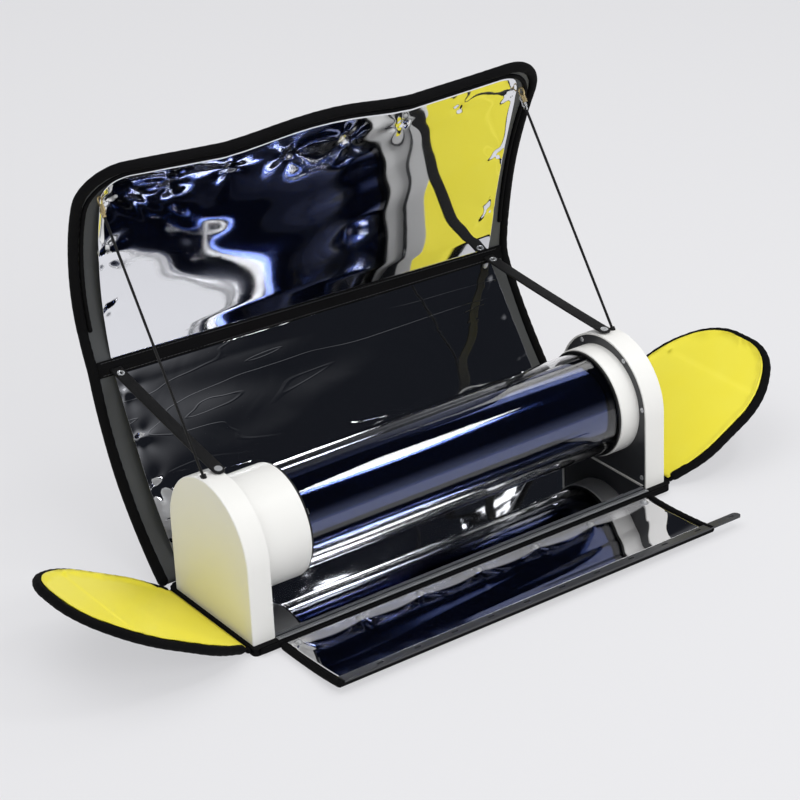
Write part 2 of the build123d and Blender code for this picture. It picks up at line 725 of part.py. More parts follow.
def flap_mirror():
    """Mirror film on the front flap, up to the stiffening bar."""
    x0, x1 = flap_ends()
    t = FLAP_THICKNESS / 2
    first = (BAR_WIDTH + 1) / FLAP_REACH
    last = 1 - (PIPING_R + 1) / FLAP_REACH
    border = FLAP_MIRROR_BORDER
    return strip(flap_bow, x0 + border, x1 - border, t, t + MIRROR_THICKNESS, first, last)


def flap_binding():
    """Padded edges along the front flap's two sides, each open on one side, where the cloth goes in."""
    tubes = []
    for x, inner in zip(flap_ends(), (1, -1)):
        bow = flap_bow(x)
        path = ThreePointArc(*[(x, *bow.point(s, FLAP_BINDING_LIFT)) for s in (0.0, 0.46, 0.92)])
        plane = Plane(origin=path @ 0, x_dir=(1, 0, 0), z_dir=path % 0)
        cloth = Rectangle(2 * FLAP_BINDING_R, FLAP_THICKNESS)
        section = Circle(FLAP_BINDING_R) - Pos(inner * FLAP_BINDING_R, FLAP_BINDING_LIFT) * cloth
        tubes.append(sweep(plane * section, path=path))
    return group(tubes)


def flap_bar():
    """Flat slotted bar that stiffens the flap's front edge and runs on past its right side."""
    x0, x1 = flap_ends()
    end = x1 + BAR_OVERHANG
    t = FLAP_THICKNESS / 2
    bow = flap_bow(0)
    y0, z0 = bow.point(0, t)
    y1, z1 = bow.point(BAR_WIDTH / FLAP_REACH, t)
    along = Vector(0, y1 - y0, z1 - z0).normalized()
    plane = Plane(origin=(0, y0, z0), x_dir=(1, 0, 0), z_dir=Vector(1, 0, 0).cross(along))
    start = x0 + FLAP_BINDING_R + 1
    blank = Pos((start + end) / 2, BAR_WIDTH / 2) * Rectangle(end - start, BAR_WIDTH)
    blank = fillet(blank.vertices().sort_by(Axis.X)[-2:], BAR_WIDTH * 0.45)
    count = int((end - start) / BAR_SLOT_PITCH)
    for k in range(count):
        x = end - BAR_WIDTH - k * BAR_SLOT_PITCH
        blank -= Pos(x, BAR_WIDTH / 2) * SlotOverall(BAR_SLOT_LENGTH, BAR_SLOT_WIDTH)
    return extrude(plane * blank, BAR_THICKNESS)


def flap_rivets(mirror):
    """Domed rivets that hold the flap's mirror film near its hinge."""
    x0, x1 = flap_ends()
    first, last = x0 + 2 * FLAP_RIVET_R + FLAP_MIRROR_BORDER, x1 - 2 * FLAP_RIVET_R - FLAP_MIRROR_BORDER
    bow = flap_bow(0)
    y, z = bow.point(1 - FLAP_RIVET_INSET / FLAP_REACH, FLAP_THICKNESS / 2 + MIRROR_THICKNESS)
    r = (FLAP_RIVET_R**2 + FLAP_RIVET_HEIGHT**2) / (2 * FLAP_RIVET_HEIGHT)
    rivets = []
    for k in range(FLAP_RIVETS):
        x = first + (last - first) * k / (FLAP_RIVETS - 1)
        ball = Pos(x, y, z + FLAP_RIVET_HEIGHT - r) * Sphere(r)
        cap = ball & box(x - 2 * r, x + 2 * r, y - 2 * r, y + 2 * r, z - 0.3, z + 2 * r)
        rivets.append(cap - mirror)
    return group(rivets)


def end_plane(side, lift=0.0):
    """Plane of an end flap with x across it, y along it from the hinge and its normal up, as it lies open."""
    tilt = radians(END_FLAP_TILT)
    up = Vector(-side * sin(tilt), 0, cos(tilt))
    origin = Vector(side * HINGE_END, 0, PIPING_Z) + up * lift
    return Plane(origin=origin, x_dir=(0, -side, 0), z_dir=up)


def end_edge(inset, start):
    """Arched edge of an end flap, drawn in by inset, from start along the flap."""
    half, neck = END_FLAP_HALF_WIDTH - inset, END_FLAP_NECK - inset
    tip = END_FLAP_LENGTH - inset
    edge = [(neck, start), (half, tip * 0.25), (half, tip * 0.7), (half / 2, tip)]
    return rounded_line(edge + [(-x, y) for x, y in reversed(edge)])


def end_face(inset, start):
    """Face inside an end flap's edge."""
    edge = end_edge(inset, start)
    return make_face([edge, Line(edge @ 1, edge @ 0)])


def end_panel(side):
    """Stiffened fabric panel of an end flap. The right one turns freely on its piping."""
    panel = extrude(end_plane(side, -END_FLAP_THICKNESS / 2) * end_face(0, 0), END_FLAP_THICKNESS)
    groove = PIPING_R + (HINGE_CLEARANCE if side == RIGHT else 0)
    x = side * HINGE_END
    return panel - rod((x, 2 * BASE_FRONT, PIPING_Z), (x, 2 * BASE_BACK, PIPING_Z), groove)


def end_lining(side):
    """Yellow lining on an end flap's upper face."""
    face = end_face(BINDING_R - LINING_INSET, PIPING_R + 2)
    return extrude(end_plane(side, END_FLAP_THICKNESS / 2) * face, LINING_THICKNESS)


def end_binding(side, panel, lining):
    """Padded edge round an end flap."""
    path = end_plane(side) * end_edge(0, PIPING_R + BINDING_R + 1)
    tube = sweep(Plane(origin=path @ 0, z_dir=path % 0) * Circle(BINDING_R), path=path)
    return tube - panel - lining


def strap_ends(side):
    """The strap's foot over the housing's top and its end in the middle of the lid's fold."""
    x = side * (HOUSING_OUT - STRAP_SETBACK[side])
    top = AXIS_Z + sqrt(ARCH_R**2 - STRAP_FOOT_Y**2)
    lid_x = side * (LID_LENGTH / 2 - STRAP_LID_INSET)
    return Vector(x, STRAP_FOOT_Y, top + STRAP_LIFT), Vector(lid_x, *fold_point(lid_x))


def strap_plane(side, share=0.0):
    """Plane of a strap with x along it, at a share of its length."""
    foot, head = strap_ends(side)
    run = head - foot
    return Plane(origin=foot + run * share, x_dir=run, z_dir=Vector(1, 0, 0).cross(run))


def strap_rivet_share(side, end):
    """Where a strap's rivet sits along it: 0 at the housing, close to 1 at the lid's fold."""
    foot, head = strap_ends(side)
    return 1 - STRAP_RIVET_INSET / (head - foot).length if end else 0.0


def stay_strap(side):
    """Webbing strap pulled tight between a housing's top and the lid's fold, where it is sewn to the roll."""
    foot, head = strap_ends(side)
    length = (head - foot).length
    outline = Pos(length / 2, 0) * Rectangle(length, STRAP_WIDTH) + Circle(STRAP_WIDTH / 2)
    outline -= Circle(STRAP_RIVET_R)
    outline -= Pos(length - STRAP_RIVET_INSET, 0) * Circle(STRAP_RIVET_R)
    strap = extrude(strap_plane(side) * outline, STRAP_THICKNESS / 2, both=True)
    return strap - rod(*fold_axis(), FOLD_R + STRAP_THICKNESS)


def cord_ends(side):
    """The cord's foot on the housing and its top at the lid's corner."""
    foot = Vector(side * (HOUSING_OUT - CORD_SETBACK), STRAP_FOOT_Y, HOUSING_TOP)
    x = side * (LID_LENGTH / 2 - CORD_TOP_INSET)
    z = top_height() - CORD_TOP_DROP
    lift = LID_THICKNESS / 2 + MIRROR_THICKNESS + CLASP_RING_R + CLASP_WIRE_R
    return foot, Vector(x, upper_bow(x).y_at(z, lift), z)


def stay_cord(side):
    """Tight cord from the top of a housing up to the clasp at the lid's corner."""
    foot, top = cord_ends(side)
    along = (top - foot).normalized()
    start, end = foot + along * ANCHOR_HEIGHT, top - along * CLASP_LENGTH
    return rod(tuple(start), tuple(end), CORD_R)


def strap_rivets(end):
    """Rivets through both straps: those on the housings for end 0, those by the lid's fold for end 1."""
    rivets = []
    for side in (LEFT, RIGHT):
        plane = strap_plane(side, strap_rivet_share(side, end))
        t = STRAP_THICKNESS / 2
        depth = t + STRAP_RIVET_HEIGHT if end else 2 * STRAP_LIFT
        shank = extrude(plane.offset(-depth) * Circle(STRAP_RIVET_R), depth + t)
        caps = [extrude(plane.offset(t) * Circle(STRAP_RIVET_HEAD_R), STRAP_RIVET_HEIGHT)]
        if end:
            caps.append(extrude(plane.offset(-depth) * Circle(STRAP_RIVET_HEAD_R), STRAP_RIVET_HEIGHT))
        rivet = shank
        for cap in caps:
            rivet += cap
        rivets.append(rivet if end else rivet - housing_block(side))
    return group(rivets)


def cord_anchors():
    """Small posts on the housings that the cords' lower ends are fixed in."""
    posts = []
    for side in (LEFT, RIGHT):
        foot, top = cord_ends(side)
        along = (top - foot).normalized()
        post = rod(tuple(foot - along * ANCHOR_HEIGHT), tuple(foot + along * ANCHOR_HEIGHT), ANCHOR_R)
        posts.append(post - housing_block(side))
    return group(posts)


def cord_clasps():
    """Clasps at the cords' tops: a barrel on the cord and a ring through the lid's corner eyelet."""
    clasps = []
    for side in (LEFT, RIGHT):
        foot, top = cord_ends(side)
        along = (top - foot).normalized()
        barrel = rod(tuple(top - along * CLASP_LENGTH), tuple(top - along * CLASP_RING_R), CLASP_R)
        loop = Plane(origin=top, x_dir=along, z_dir=(1, 0, 0)) * Torus(CLASP_RING_R, CLASP_WIRE_R)
        clasps.append(barrel + loop)
    return clasps


PARTS = {}


def build_base():
    """Pieces that stay put: base, housings and tube."""
    PARTS["base_board"] = base_board()
    PARTS["base_bolts"] = base_bolts()
    PARTS["trough_mirror"] = trough_mirror()
    PARTS["front_zip"] = front_zip()
    for name, side in SIDES.items():
        PARTS[f"{name}_housing"] = housing_shell(side)
        PARTS[f"{name}_side_plate"] = side_plate(side)
        PARTS[f"{name}_plate_seat"] = plate_rim(side)
    for name, side, length in (
        ("left", LEFT, LEFT_COLLAR_LENGTH),
        ("right", RIGHT, RIGHT_COLLAR_LENGTH),
    ):
        PARTS[f"{name}_collar"] = collar(side, length)
        PARTS[f"{name}_gasket"] = gasket(side, length)
    PARTS["plate_screws"] = plate_screws()
    PARTS["glass_outer"] = glass_outer()
    PARTS["glass_inner"] = glass_inner()
    PARTS["tube_end_clip"] = end_clip()
    PARTS["dome_cushion"] = dome_cushion()
    PARTS["mouth_seat"] = mouth_seat()
    PARTS["housing_rivets"] = strap_rivets(0)
    PARTS["cord_anchors"] = cord_anchors()


def build_tray():
    """Pieces that slide out of the tube together."""
    PARTS["food_tray"] = food_tray()
    PARTS["plug_core"] = plug_core()
    PARTS["tray_plug"] = tray_plug()
    PARTS["plug_seal"] = plug_seal()
    PARTS["tray_handle"] = tray_handle()


def build_lid():
    """The lid's two segments, with their mirror film, padded edges and fixings."""
    PARTS["lower_panel"] = lower_panel()
    PARTS["back_piping"] = long_piping(HINGE_BACK)
    PARTS["lower_mirror"] = lid_sheet(lower_bow, lower_outline(LID_BORDER), 1)
    for name, side in SIDES.items():
        PARTS[f"lower_{name}_binding"] = side_binding(side)
    PARTS["lower_eyelets"] = lower_eyelets(PARTS["lower_mirror"])
    PARTS["fold_roll"] = fold_roll()
    PARTS["upper_panel"] = upper_panel()
    outline = upper_outline(LID_BORDER, MIRROR_FOLD_MARGIN)
    PARTS["upper_mirror"] = lid_sheet(upper_bow, outline, 1.1)
    PARTS["upper_binding"] = upper_binding(PARTS["upper_panel"])
    PARTS["upper_eyelets"] = upper_eyelets(PARTS["upper_mirror"])
    PARTS["cord_clasps"] = group([c - PARTS["upper_mirror"] for c in cord_clasps()])


def build_flaps():
    """The front flap and the two end flaps."""
    PARTS["front_piping"] = long_piping(HINGE_FRONT)
    PARTS["front_panel"] = flap_panel()
    PARTS["front_mirror"] = flap_mirror()
    PARTS["front_binding"] = flap_binding()
    PARTS["front_bar"] = flap_bar() - PARTS["front_binding"] - PARTS["front_panel"]
    PARTS["front_rivets"] = flap_rivets(PARTS["front_mirror"])
    for name, side in SIDES.items():
        panel, lining = end_panel(side), end_lining(side)
        PARTS[f"{name}_piping"] = end_piping(side)
        PARTS[f"{name}_panel"] = panel
        PARTS[f"{name}_lining"] = lining
        PARTS[f"{name}_binding"] = end_binding(side, panel, lining)


def build_stays():
    """Straps and cords between the housings and the open lid."""
    for name, side in SIDES.items():
        PARTS[f"{name}_stay_strap"] = stay_strap(side)
        PARTS[f"{name}_stay_cord"] = stay_cord(side)
    PARTS["fold_rivets"] = strap_rivets(1)


build_base()
build_tray()
build_lid()
build_flaps()
build_stays()
for node, shape in PARTS.items():
    export_step(shape, f"parts/{node}.step")
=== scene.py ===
"""Looks of the portable solar grill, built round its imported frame.

Metres. X runs along the glass tube, Y to the back, Z up. Each class is one sub-assembly: its sizes are
dataclass fields, and its methods build the meshes, give them their finish and tie them to the frame's bodies.
"""

import logging
from dataclasses import dataclass
from enum import Enum
from math import asin, atan2, cos, degrees, hypot, pi, radians, sin, sqrt, tan
from typing import Callable, Iterable, Sequence

import bmesh
import bpy
import numpy as np
from mathutils import Matrix, Vector


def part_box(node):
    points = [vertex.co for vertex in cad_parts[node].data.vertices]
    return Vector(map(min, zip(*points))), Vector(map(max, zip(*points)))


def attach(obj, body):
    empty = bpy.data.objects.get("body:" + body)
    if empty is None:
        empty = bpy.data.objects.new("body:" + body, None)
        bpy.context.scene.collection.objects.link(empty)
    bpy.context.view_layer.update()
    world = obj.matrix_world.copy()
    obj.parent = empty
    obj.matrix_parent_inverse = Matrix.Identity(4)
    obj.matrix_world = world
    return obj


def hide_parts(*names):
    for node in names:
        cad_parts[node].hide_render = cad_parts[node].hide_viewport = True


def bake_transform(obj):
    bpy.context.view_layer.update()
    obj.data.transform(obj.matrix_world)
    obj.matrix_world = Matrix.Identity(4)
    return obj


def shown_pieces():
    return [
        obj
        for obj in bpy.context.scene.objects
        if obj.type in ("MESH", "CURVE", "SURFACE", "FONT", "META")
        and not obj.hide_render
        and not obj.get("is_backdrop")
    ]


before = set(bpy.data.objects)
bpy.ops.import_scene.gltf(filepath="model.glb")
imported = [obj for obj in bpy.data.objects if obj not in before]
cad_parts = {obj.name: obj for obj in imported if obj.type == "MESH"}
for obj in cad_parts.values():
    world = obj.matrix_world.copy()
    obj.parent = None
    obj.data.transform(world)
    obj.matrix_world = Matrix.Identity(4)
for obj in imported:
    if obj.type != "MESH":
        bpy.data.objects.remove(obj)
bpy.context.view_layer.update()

log = logging.getLogger("solar_grill")
Points = np.ndarray
Pair = tuple[float, float]
Triple = tuple[float, float, float]
Tree = bpy.types.NodeTree
Node = bpy.types.Node
Socket = bpy.types.NodeSocket
Piece = bpy.types.Object


class Side(Enum):
    """The two ends of the grill."""

    LEFT = -1
    RIGHT = 1

    @property
    def word(self) -> str:
        """The side's name as the frame's nodes spell it."""
        return self.name.lower()


class Coords(Enum):
    """What a pattern follows: the space it stands in, or the surface it lies on."""

    OBJECT = "Object"
    SURFACE = "UV"


# Finishes


def linear(colour: str) -> tuple[float, float, float, float]:
    """An sRGB hex colour as linear RGBA.

    Args:
        colour: six hex digits after a hash.

    Returns:
        Red, green, blue and alpha from 0 to 1.
    """
    channels = [int(colour[i : i + 2], 16) / 255 for i in (1, 3, 5)]
    turned = [c / 12.92 if c <= 0.04045 else ((c + 0.055) / 1.055) ** 2.4 for c in channels]
    return (turned[0], turned[1], turned[2], 1.0)


def add(tree: Tree, kind: str, inputs: dict | None = None, **settings: object) -> Node:
    """Adds a node, sets its properties, and sets or links its inputs.

    Args:
        tree: the node tree it goes in.
        kind: the node's type name.
        inputs: by socket name or number, a value, or an output socket to link from.
        settings: the node's own properties.

    Returns:
        The new node.
    """
    node = tree.nodes.new(kind)
    for key, value in settings.items():
        setattr(node, key, value)
    for key, value in (inputs or {}).items():
        if isinstance(value, Socket):
            tree.links.new(value, node.inputs[key])
        else:
            node.inputs[key].default_value = value
    return node


def maths(tree: Tree, operation: str, *values: object) -> Socket:
    """The result of one sum on numbers or sockets."""
    return add(tree, "ShaderNodeMath", dict(enumerate(values)), operation=operation).outputs[0]


def noise(tree: Tree, place: Socket, scale: float, detail: float, distortion: float = 0.0) -> Socket:
    """Smooth noise from 0 to 1, with about as many features in a metre as its scale says."""
    inputs = {"Vector": place, "Scale": scale, "Detail": detail, "Distortion": distortion}
    return add(tree, "ShaderNodeTexNoise", inputs).outputs["Fac"]


def spread(tree: Tree, share: Socket, low: float, high: float) -> Socket:
    """A share from 0 to 1 brought between two limits."""
    return add(tree, "ShaderNodeMapRange", {"Value": share, "To Min": low, "To Max": high}).outputs[0]


def ramp(tree: Tree, value: Socket, low: float, high: float) -> Socket:
    """A soft step from 0 at the low limit to 1 at the high one."""
    inputs = {"Value": value, "From Min": low, "From Max": high}
    return add(tree, "ShaderNodeMapRange", inputs, interpolation_type="SMOOTHSTEP").outputs[0]


def blended(tree: Tree, share: Socket, first: object, second: object) -> Socket:
    """A colour between two, each a value or a socket."""
    inputs = {"Factor": share, "A": first, "B": second}
    return add(tree, "ShaderNodeMix", inputs, data_type="RGBA").outputs["Result"]


@dataclass(frozen=True)
class Finish:
    """A surface: the real material, how it was made, and its typical values."""

    name: str
    colour: str
    roughness: float
    metallic: float = 0.0
    coords: Coords = Coords.OBJECT
    settings: tuple[tuple[str, object], ...] = ()

    def material(self) -> bpy.types.Material:
        """The finish as a material, made once."""
        made = bpy.data.materials.get(self.name)
        if made:
            return made
        made = bpy.data.materials.new(self.name)
        made.use_nodes = True
        tree = made.node_tree
        tree.nodes.clear()
        shader = add(
            tree,
            "ShaderNodeBsdfPrincipled",
            {"Base Color": linear(self.colour), "Roughness": self.roughness, "Metallic": self.metallic},
        )
        for socket, value in self.settings:
            shader.inputs[socket].default_value = value
        place = add(tree, "ShaderNodeTexCoord").outputs[self.coords.value]
        self.dress(tree, shader, place)
        if not any(node.bl_idname == "ShaderNodeOutputMaterial" for node in tree.nodes):
            add(tree, "ShaderNodeOutputMaterial", {"Surface": shader.outputs[0]})
        return made

    def dress(self, tree: Tree, shader: Node, place: Socket) -> None:
        """Adds the finish's pattern. A plain finish has none."""

    def tint(self, tree: Tree, shader: Node, mask: Socket, other: str) -> None:
        """Lets the colour drift between the finish's own and another by a mask."""
        colour = blended(tree, mask, linear(self.colour), linear(other))
        tree.links.new(colour, shader.inputs["Base Color"])

    def vary(self, tree: Tree, shader: Node, mask: Socket, low: float, high: float) -> None:
        """Lets the roughness drift between two shares of its value by a mask."""
        rough = spread(tree, mask, self.roughness * low, min(1.0, self.roughness * high))
        tree.links.new(rough, shader.inputs["Roughness"])

    def raised(self, tree: Tree, shader: Node, height: Socket, depth: float) -> None:
        """Bumps the surface by a height from 0 to 1, depth metres deep."""
        bump = add(tree, "ShaderNodeBump", {"Height": height, "Distance": depth, "Strength": 1.0})
        tree.links.new(bump.outputs[0], shader.inputs["Normal"])


@dataclass(frozen=True)
class Grain(Finish):
    """Fine grain of powder coat, moulded rubber or foam: bumps of a size, and a slow drift of colour."""

    grain: float = 0.0012
    depth: float = 0.00004
    worn: str = ""
    drift: float = 0.05

    def dress(self, tree: Tree, shader: Node, place: Socket) -> None:
        """Noise at the grain's size for the bump, and a broad noise for colour and roughness."""
        self.raised(tree, shader, noise(tree, place, 1 / self.grain, 2.0), self.depth)
        broad = noise(tree, place, 1 / self.drift, 4.0)
        self.vary(tree, shader, broad, 0.85, 1.15)
        if self.worn:
            self.tint(tree, shader, broad, self.worn)


@dataclass(frozen=True)
class Brushed(Finish):
    """Rolled or brushed metal: long fine lines along one axis."""

    pitch: float = 0.0004
    stretch: Triple = (0.02, 1.0, 1.0)
    depth: float = 0.000008

    def dress(self, tree: Tree, shader: Node, place: Socket) -> None:
        """Noise drawn out along the brushing for roughness and bump."""
        drawn = add(tree, "ShaderNodeMapping", {"Vector": place, "Scale": self.stretch})
        lines = noise(tree, drawn.outputs[0], 1 / self.pitch, 3.0)
        self.vary(tree, shader, lines, 0.6, 1.5)
        self.raised(tree, shader, lines, self.depth)


@dataclass(frozen=True)
class MirrorFilm(Finish):
    """Metallised polyester film: nearly a mirror, with a fine crinkle where it was folded and handled."""

    crinkle: float = 0.06
    depth: float = 0.00022
    creases: float = 60.0
    crease_stretch: Triple = (0.9, 7.0, 1.0)
    crease_lean: float = 0.12
    crease_scale: float = 1.6
    crease_every: float = 0.05  # step of the noise from one crease to the next
    crease_width: float = 0.004
    dust: float = 30.0

    def dress(self, tree: Tree, shader: Node, place: Socket) -> None:
        """Broad crinkles, sharp creases where stretched noise passes a step, and dust in the roughness."""
        broad = noise(tree, place, 1 / self.crinkle, 1.5, 0.8)
        lean = (0.0, 0.0, self.crease_lean)
        turned = {"Vector": place, "Scale": self.crease_stretch, "Rotation": lean}
        drawn = add(tree, "ShaderNodeMapping", turned)
        flow = noise(tree, drawn.outputs[0], self.crease_scale, 3.0, 0.5)
        bands = maths(tree, "PINGPONG", flow, self.crease_every)
        sharp = maths(tree, "MINIMUM", bands, self.crease_width)
        self.raised(tree, shader, maths(tree, "MULTIPLY_ADD", sharp, self.creases, broad), self.depth)
        self.vary(tree, shader, noise(tree, place, self.dust, 6.0), 0.5, 1.8)


@dataclass(frozen=True)
class HemmedFilm(MirrorFilm):
    """Mirror film with a less metallic, rougher band by the hinge, whose edge hangs in scallops between the
    rivets. The band's lamp-lit diffuse grey is painted reflection: it stands in for the silvery images that
    the film's bulges mirror there.
    """

    line: float = 0.1052
    first: float = -0.2497
    pitch: float = 0.0821
    drop: float = 0.006
    fade: float = 0.004
    # The band's metallic and roughness, which let the lamps paint a reflection there
    hem_metallic: float = 0.74
    hem_roughness: float = 0.2

    def dress(self, tree: Tree, shader: Node, place: Socket) -> None:
        """A mask past the scalloped edge makes the film less of a mirror there, so that the lamps light its
        diffuse grey as a painted reflection.
        """
        super().dress(tree, shader, place)
        spot = add(tree, "ShaderNodeSeparateXYZ", {0: place}).outputs
        turn = maths(tree, "MULTIPLY_ADD", spot["X"], pi / self.pitch, -pi * self.first / self.pitch)
        hang = maths(tree, "ABSOLUTE", maths(tree, "SINE", turn))
        edge = maths(tree, "MULTIPLY_ADD", hang, self.drop, spot["Y"])
        start = self.line - self.drop
        # Band past the scalloped edge: painted reflection, its diffuse grey lit by the lamps
        painted_band = ramp(tree, edge, start, start + self.fade)
        metallic = spread(tree, painted_band, self.metallic, self.hem_metallic)
        tree.links.new(metallic, shader.inputs["Metallic"])
        rough = spread(tree, painted_band, self.roughness, self.hem_roughness)
        tree.links.new(rough, shader.inputs["Roughness"])


@dataclass(frozen=True)
class Weave(Finish):
    """Woven cloth: crossing threads, drawn coarser than life so that they show, and faded patches."""

    thread: float = 0.0016
    depth: float = 0.00018
    faded: str = ""
    patches: float = 18.0

    def dress(self, tree: Tree, shader: Node, place: Socket) -> None:
        """Crossed waves for the threads, a broad noise for fading."""
        waves = {"Vector": place, "Scale": pi / 10 / self.thread, "Distortion": 0.6, "Detail": 1.0}
        warp, weft = (
            add(tree, "ShaderNodeTexWave", waves, bands_direction=way).outputs["Fac"] for way in ("X", "Y")
        )
        cross = maths(tree, "MAXIMUM", warp, weft)
        self.raised(tree, shader, cross, self.depth)
        if self.faded:
            mask = maths(tree, "MULTIPLY", noise(tree, place, self.patches, 5.0), cross)
            self.tint(tree, shader, mask, self.faded)


@dataclass(frozen=True)
class Glass(Finish):
    """Drawn borosilicate tube: clear, with faint draw lines along it."""

    draw: Triple = (0.6, 6.0, 6.0)
    lines: float = 12.0
    depth: float = 0.00004

    def dress(self, tree: Tree, shader: Node, place: Socket) -> None:
        """Very shallow lines along the draw."""
        drawn = add(tree, "ShaderNodeMapping", {"Vector": place, "Scale": self.draw})
        self.raised(tree, shader, noise(tree, drawn.outputs[0], self.lines, 1.0), self.depth)


@dataclass(frozen=True)
class StudioPaper(Finish):
    """Matte background paper, part of which the camera and mirrors see at one even level."""

    even: float = 0.65
    glow: str = "#E9E9EC"

    def dress(self, tree: Tree, shader: Node, place: Socket) -> None:
        """Emission in place of a share of the lit paper, which keeps the shadow but evens the rest."""
        path = add(tree, "ShaderNodeLightPath").outputs
        seen = maths(tree, "MAXIMUM", path["Is Camera Ray"], path["Is Glossy Ray"])
        seen = maths(tree, "MAXIMUM", seen, path["Is Transmission Ray"])
        share = maths(tree, "MULTIPLY", seen, self.even)
        glow = add(tree, "ShaderNodeEmission", {"Color": linear(self.glow)})
        paper = add(tree, "ShaderNodeMixShader", {"Fac": share, 1: shader.outputs[0], 2: glow.outputs[0]})
        add(tree, "ShaderNodeOutputMaterial", {"Surface": paper.outputs[0]})


# Powder coated sheet steel: warm white and matt, with the faint mottle of orange peel
WHITE_COAT = Grain("powder_coated_steel_white", "#ECECEA", 0.42, grain=0.0011, worn="#E4E3DF", drift=0.2)
# Painted steel plate: charcoal with a soft shine
DARK_PAINT = Grain(
    "painted_steel_charcoal", "#3B3C3F", 0.34, grain=0.0009, depth=0.00002, worn="#323336", drift=0.1
)
# Polished aluminium sheet: a clear mirror with hair lines along it
POLISHED_SHEET = Brushed("polished_aluminium_sheet", "#E4E5E9", 0.04, 1.0, pitch=0.006, depth=0.000008)
# Taut film: large soft images with hardly a crease
LID_FILM = MirrorFilm(
    "metallised_film_taut", "#E9EAEE", 0.03, 1.0, Coords.SURFACE, crinkle=0.12, depth=0.0003, creases=2.0
)
# Film that was folded away: long thin creases catch the light across a dark image
FOLDED_FILM = MirrorFilm("metallised_film_creased", "#E2E3E7", 0.035, 1.0, Coords.SURFACE, creases=60.0)
# Taut film whose band by the hinge is greyer and softer: painted reflection, a lamp-lit diffuse grey in place
# of the silvery images of its bulges
FLAP_FILM = HemmedFilm(
    "metallised_film_hemmed", "#ECECEF", 0.03, 1.0, Coords.SURFACE, crinkle=0.06, depth=0.00008, creases=2.0
)
# Drawn glass: nearly invisible, with long bright reflections
CLEAR_GLASS = Glass(
    "borosilicate_glass_drawn", "#FFFFFF", 0.0, settings=(("Transmission Weight", 1.0), ("IOR", 1.474))
)
# Absorber coating on the inner glass: glossy blue that goes to black where nothing pale is mirrored
ABSORBER = Brushed(
    "absorber_coating_blue_black",
    "#24366A",
    0.08,
    0.9,
    pitch=0.003,
    depth=0.000004,
    settings=(("Coat Weight", 0.5),),
)
DULL = (("Specular IOR Level", 0.08),)
# Polyester cloth of the panels: dead black, faded to charcoal in patches
BLACK_WEAVE = Weave("polyester_weave_black", "#101011", 0.85, 0.0, Coords.SURFACE, DULL, faded="#1A1A1C")
# The same cloth round the board: its pattern follows space, because the board is a plain solid
BOARD_WEAVE = Weave("polyester_weave_board", "#101011", 0.85, settings=DULL, faded="#18181A")
# Binding tape: a shade deeper black, with a finer weave
BINDING_WEAVE = Weave(
    "polyester_tape_black", "#0B0B0C", 0.8, 0.0, Coords.SURFACE, DULL, thread=0.0013, faded="#161618"
)
# Coated lining beside the films: flat mid grey with a faint sheen
GREY_LINING = Weave(
    "coated_nylon_grey", "#424446", 0.55, coords=Coords.SURFACE, thread=0.0012, depth=0.00006, faded="#4C4E50"
)
# Coated lining of the end flaps: bright yellow, slightly glossy
YELLOW_NYLON = Weave(
    "coated_nylon_yellow",
    "#EDDF30",
    0.42,
    coords=Coords.SURFACE,
    thread=0.0012,
    depth=0.00004,
    faded="#F2E955",
)
# Strap webbing: black with coarse ribs
WEBBING = Weave(
    "polypropylene_webbing_black",
    "#111112",
    0.7,
    coords=Coords.SURFACE,
    thread=0.0018,
    depth=0.0003,
    faded="#1C1C1E",
)
# Cord braid: black with a close pattern round it
BRAID = Weave(
    "braided_cord_black", "#0D0D0E", 0.6, coords=Coords.SURFACE, thread=0.0012, depth=0.0002, faded="#1A1A1C"
)
# Silicone rubber: smooth near black, half matt
RUBBER = Grain("silicone_rubber_black", "#101011", 0.5, grain=0.0008, depth=0.00003, worn="#19191A")
# Zinc plating: pale cool grey with blurred highlights
ZINC = Grain("zinc_plated_steel", "#D2D4D7", 0.26, 0.6, grain=0.003, depth=0.00001)
# Brass plating: pale warm gold with blurred highlights
BRASS = Grain("brass_plated_steel", "#CDB98A", 0.26, 0.6, grain=0.003, depth=0.00001)
# Stainless steel: grey metal with brushing along it
STAINLESS = Brushed("stainless_steel_brushed", "#C3C4C6", 0.24, 1.0)
# Ceramic foam: chalky cream with open pores
FOAM = Grain("ceramic_foam", "#C9C4B6", 0.9, grain=0.002, depth=0.0002, worn="#BDB7A8")
# Zip tape: silver grey cloth with some shine
ZIP_NYLON = Weave("nylon_zip_tape_silver", "#A4A6AA", 0.35, 0.5, thread=0.0011)
# Zip teeth: brighter than their tape, like thin metal
ZIP_TEETH = Grain("nylon_coil_silver", "#B4B6BA", 0.3, 0.8, grain=0.001)
# Sewing thread: a grey that stands out on black
THREAD = Weave("polyester_thread_grey", "#3A3A3D", 0.6, thread=0.0006, depth=0.00005)


# Meshes


def mesh_object(
    name: str, vertices: Points, faces: Sequence[Sequence[int]], uv: Points | None = None
) -> Piece:
    """A smooth mesh in the scene.

    Args:
        name: the piece's name.
        vertices: points in the frame.
        faces: vertex numbers of each face.
        uv: a place on the surface for each vertex, in metres.

    Returns:
        The object, at the origin.
    """
    mesh = bpy.data.meshes.new(name)
    mesh.from_pydata([tuple(v) for v in vertices], [], [tuple(int(i) for i in f) for f in faces])
    if uv is not None:
        layer = mesh.uv_layers.new(name="UVMap")
        loops = np.zeros(len(mesh.loops), np.int32)
        mesh.loops.foreach_get("vertex_index", loops)
        layer.data.foreach_set("uv", np.asarray(uv, np.float32)[loops].ravel())
    mesh.polygons.foreach_set("use_smooth", [True] * len(mesh.polygons))
    made = bpy.data.objects.new(name, mesh)
    bpy.context.scene.collection.objects.link(made)
    return made


